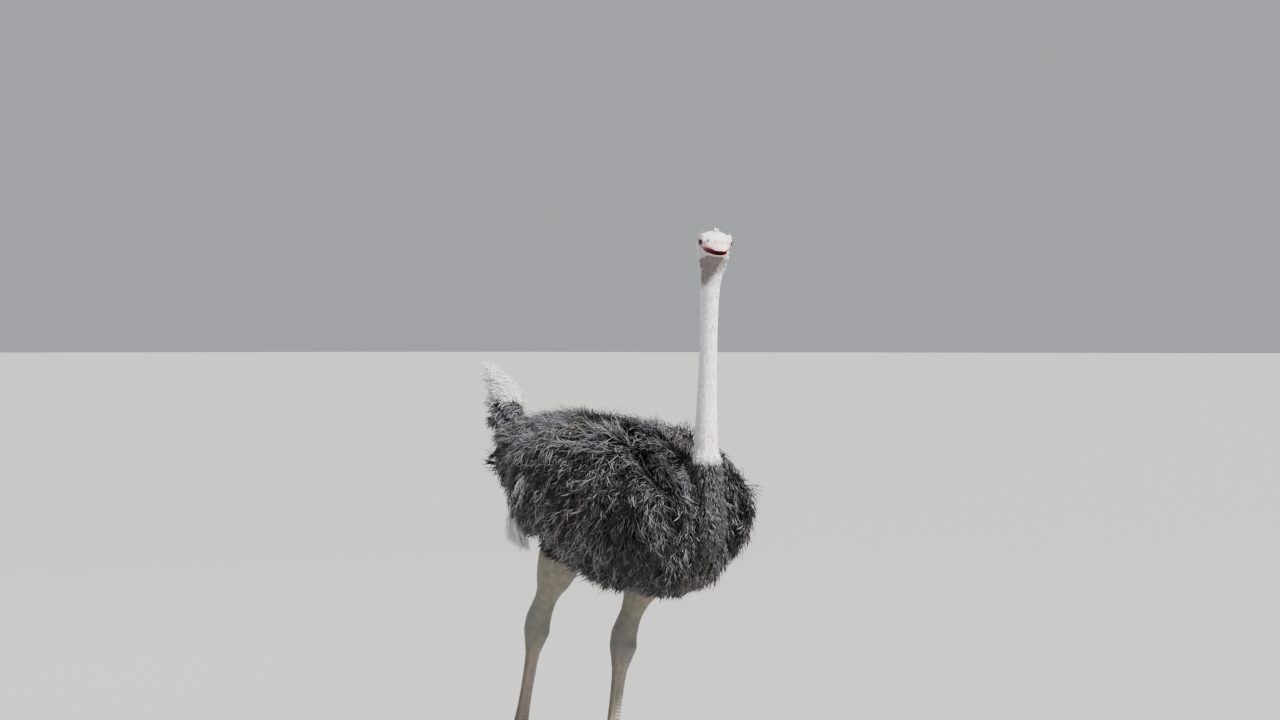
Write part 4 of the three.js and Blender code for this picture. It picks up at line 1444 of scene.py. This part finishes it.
# %% Where bristles may stand
LID_MIDDLE = 0.014  # metres from the eye's centre along the gaze
q_skin = to_head(skin_points)
qx, qy, qz = q_skin.T
from_lids = np.min([np.linalg.norm(q_skin - eye_axes(side)[0] - eye_axes(side)[1] * LID_MIDDLE, axis=1)
                    for side in (1, -1)], 0)
beside_eyes = step(0.024, 0.034, from_lids)
by_bill = (qy < -0.012) & (np.abs(qz + 0.027) < 0.017)
hairy = (belongs["head"] > 0.4) * (from_lids > 0.021) * (1 - throat_tan_and_painted_shade) * ~by_bill
print("hairy points of the head:", int((hairy > 0.5).sum()))

# %% The lie of the bristles
def head_lie(place, normal):
    """Back over the crown and down over the cheeks and throat."""
    local = to_head(place)
    way = np.zeros_like(place)
    way[:, 1] = 1.0
    way[:, 2] = -1.2 * step(0.02, -0.03, local[:, 2])
    way = way @ HEAD_TURN.T
    way -= (way * normal).sum(1, keepdims=True) * normal
    return unit(way)


def brow_lie(place, normal):
    """Outwards and back over each eye."""
    local = to_head(place)
    way = np.zeros_like(place)
    way[:, 0] = np.sign(local[:, 0])
    way[:, 1] = 0.6
    way = way @ HEAD_TURN.T
    way -= (way * normal).sum(1, keepdims=True) * normal
    return unit(way)


print("lie of the bristles ready")

# %% Head, crown, cheek and brow bristles
plumage("bristles_head", 6000, hairy, per_lock=3, length=0.0080, width=0.00035,
        curl=0.5, hook=0.2, swirl=0.3, sag=0.0, shade=(0.35, 1), lift=0.6,
        finish=white_plumage, lie=head_lie, rings=2)
FAINTEST_CROWN = 0.08  # below this share no crown bristle stands
crown = hairy * bump(qx, 0.0, 0.006) * bump(qy, 0.003, 0.009) * (qz > 0.02)
crown *= crown > FAINTEST_CROWN
plumage("bristles_crown", 170, crown, per_lock=40, length=0.023, width=0.0004,
        curl=0.6, hook=0.3, swirl=0.2, sag=0.0, shade=(0.5, 1), lift=1.6, draw=0.9,
        finish=white_plumage, lie=head_lie)
cheek = beside_eyes * (1 - throat_tan_and_painted_shade) * (belongs["head"] + belongs["neck"] > 0.5)
cheek = cheek * bump(qz, -0.045, 0.030) * step(0.025, 0.05, np.abs(qx)) * (qy > -0.03)
plumage("bristles_cheek", 3800, cheek, per_lock=5, length=0.023, width=0.00045,
        curl=0.5, hook=0.2, swirl=0.2, sag=0.25, shade=(0.4, 1), lift=0.95,
        finish=white_plumage, lie=head_lie)
brow = (belongs["head"] > 0.4) * bump(np.abs(qx), 0.047, 0.015)
brow = brow * bump(qz, 0.023, 0.008) * bump(qy, -0.004, 0.026) * beside_eyes
plumage("bristles_brow", 700, brow, per_lock=3, length=0.011, width=0.0004,
        curl=0.5, hook=0.3, swirl=0.2, sag=0.0, shade=(0.5, 1), lift=0.35,
        finish=white_plumage, lie=brow_lie, rings=2)

# %% Lashes
lash_finish = plume_finish("lash", dark=(0.010, 0.007, 0.006), light=(0.03, 0.02, 0.018),
                           tint=(0.03, 0.02, 0.018), roughness=0.5, sheen=0.0)
LASHES = 34
for side, name in ((1, "left"), (-1, "right")):
    centre, gaze, forward, up = eye_axes(side)
    s = np.linspace(-0.52, 0.52, LASHES)
    v = LID["up"] * np.sqrt(1 - (s / LID["half_length"]) ** 2) + 0.05
    ahead = np.sqrt(1 - s**2 - v**2)
    way = unit(s[:, None] * forward + v[:, None] * up + ahead[:, None] * gaze)
    root = from_head(centre + way * LID["radius"])
    lie = unit(way * 0.9 + gaze * 0.5 + up * 0.15 + forward * s[:, None] * 0.6) @ HEAD_TURN.T
    normal = np.tile(up @ HEAD_TURN.T, (LASHES, 1))
    length = random.uniform(0.009, 0.013, LASHES)
    curl = random.normal(0, 0.12, LASHES)
    made = grown(root, normal, lie, length, width=np.full(LASHES, 0.00028), lift=np.full(LASHES, -0.15),
                 curl=curl, hook=np.full(LASHES, 0.5), shade=random.random(LASHES))
    tuft_pieces(f"lashes_{name}", made, lash_finish)

# %% [markdown]
# ## Scutes and claws
# Horny scutes overlap like shingles down the front of each shank and over the toes. A bump in the finish
# could draw them, but the outline of the leg would stay smooth. So each is a small curved plate, found by
# looking in at the leg from outside and set a little proud of the skin at its lower edge. The claws are
# plain cones of horn, so the CAD's shapes only have their facets smoothed away.

# %% Drawing a scute
def horn_finish(name, light, dark):
    made = Finish(name, Roughness=0.45)
    streak = made.noise(70, 4, (1, 1, 0.4))
    made.wear("Base Color", made.mixed(made.between(streak, 0.3, 0.7), light, dark))
    made.wear("Normal", made.relief(made.noise(300, 3), 0.0005, 0.6))
    return made.material


scute_horn = horn_finish("scute_horn", (0.27, 0.235, 0.20), (0.17, 0.15, 0.13))
skin_tree = BVHTree.FromPolygons(skin_points.tolist(), skin_triangles.tolist())
ACROSS, DOWN = 9, 5  # points on each scute
WIDEST_STEP = 0.011  # a plate with a longer step than this would bridge a hollow
LOOK_IN = 0.16  # metres from outside to the middle of the limb
SUNK = 0.0015  # metres of each plate under the skin


def scute(centre, axis, front, half_angle, length, proud):
    """One plate round the front of a limb, as top and bottom points; nothing where it would miss the limb."""
    side = unit(np.cross(axis, front))
    rows = []
    for k in range(DOWN):
        t = k / (DOWN - 1)
        for j in range(ACROSS):
            u = 2 * j / (ACROSS - 1) - 1
            narrow = 1 - 0.35 * t * t * u * u
            angle = half_angle * u * narrow
            way = front * math.cos(angle) + side * math.sin(angle)
            along = centre + axis * length * (t * (1 - 0.25 * u * u) - 0.1)
            hit = skin_tree.ray_cast(Vector(along + way * LOOK_IN), Vector(-way), LOOK_IN)
            if hit[0] is None:
                return None
            height = proud * (0.15 + 0.85 * t) * (1 - 0.75 * u**4)
            rows.append((np.array(hit[0]) + way * height, np.array(hit[0]) - way * SUNK))
    rows = np.array(rows)
    tops = rows[:, 0].reshape(DOWN, ACROSS, 3)
    widest = max(np.linalg.norm(np.diff(tops, axis=k), axis=2).max() for k in (0, 1))
    return rows if widest < WIDEST_STEP else None


def scute_mesh(name, plates):
    n = ACROSS * DOWN
    quads = [(k * ACROSS + j, k * ACROSS + j + 1, (k + 1) * ACROSS + j + 1, (k + 1) * ACROSS + j)
             for k in range(DOWN - 1) for j in range(ACROSS - 1)]
    ring = (list(range(ACROSS)) + [k * ACROSS + ACROSS - 1 for k in range(1, DOWN)]
            + [(DOWN - 1) * ACROSS + j for j in range(ACROSS - 2, -1, -1)]
            + [k * ACROSS for k in range(DOWN - 2, 0, -1)])
    faces = []
    for p in range(len(plates)):
        top, low = p * 2 * n, p * 2 * n + n
        faces += [tuple(top + i for i in f) for f in quads]
        faces += [tuple(low + i for i in reversed(f)) for f in quads]
        faces += [(top + b, top + a, low + a, low + b) for a, b in zip(ring, ring[1:] + ring[:1])]
    points = np.concatenate([np.concatenate([plate[:, 0], plate[:, 1]]) for plate in plates])
    made = mesh_object(name, points, faces)
    work = bmesh.new()
    work.from_mesh(made.data)
    bmesh.ops.recalc_face_normals(work, faces=work.faces)
    work.to_mesh(made.data)
    work.free()
    made.data.shade_smooth()
    made.data.materials.append(scute_horn)
    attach(made, "root")
    return made


print("scute helpers ready")

# %% Scutes on shanks and toes
SHANK_SCUTES, TOE_SCUTES = 26, 9
GROWING = 7  # the first shank scutes grow in width and height up to this one
TOE_STEP = 0.0135  # metres
for name, leg in LEGS.items():
    turn = math.radians(leg["turn"])
    fore = np.array([math.sin(turn), -math.cos(turn), 0])
    a, b = np.array(leg["ankle"]), np.array(leg["toe"])
    plates = []
    axis = unit(b - a)
    front = unit(fore - (fore @ axis) * axis)
    for i in range(SHANK_SCUTES):
        share = 0.20 + 0.80 * i / SHANK_SCUTES
        size = min(1, i / GROWING)
        half_angle = math.radians(18 + 32 * size)
        spot = a + (b - a) * share
        plates.append(scute(spot, axis, front, half_angle, length=0.022, proud=0.0005 + 0.0011 * size))
    flat_toe = np.array([b[0], b[1], 0.016]) + fore * 0.03
    upwards = np.array([0, 0, 1.0])
    for i in range(TOE_SCUTES):
        spot = flat_toe + fore * (0.012 + TOE_STEP * i)
        plates.append(scute(spot, fore, upwards, math.radians(52), length=0.018, proud=0.0014))
    plates = [p for p in plates if p is not None]
    scutes = scute_mesh(f"scutes_{name}", plates)
    print(scutes.name, len(plates), "plates")

# %% Claws
claw_horn = horn_finish("claw_horn", (0.10, 0.085, 0.07), (0.05, 0.042, 0.038))
CLAW_VOXEL = 0.0012
for side in ("left", "right"):
    claw_points, claw_triangles, _ = swollen_copy([f"claw_{side}"], 0)
    mesh = remeshed(f"claw_{side}_fine", claw_points, claw_triangles, CLAW_VOXEL)
    set_vertices(mesh, smoothed(vertex_array(mesh), edge_array(mesh), 14, FIRM))
    mesh.shade_smooth()
    claw = linked(f"horn_claw_{side}", mesh, claw_horn)
    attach(claw, "root")
    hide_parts(f"claw_{side}")
print("claws ready")
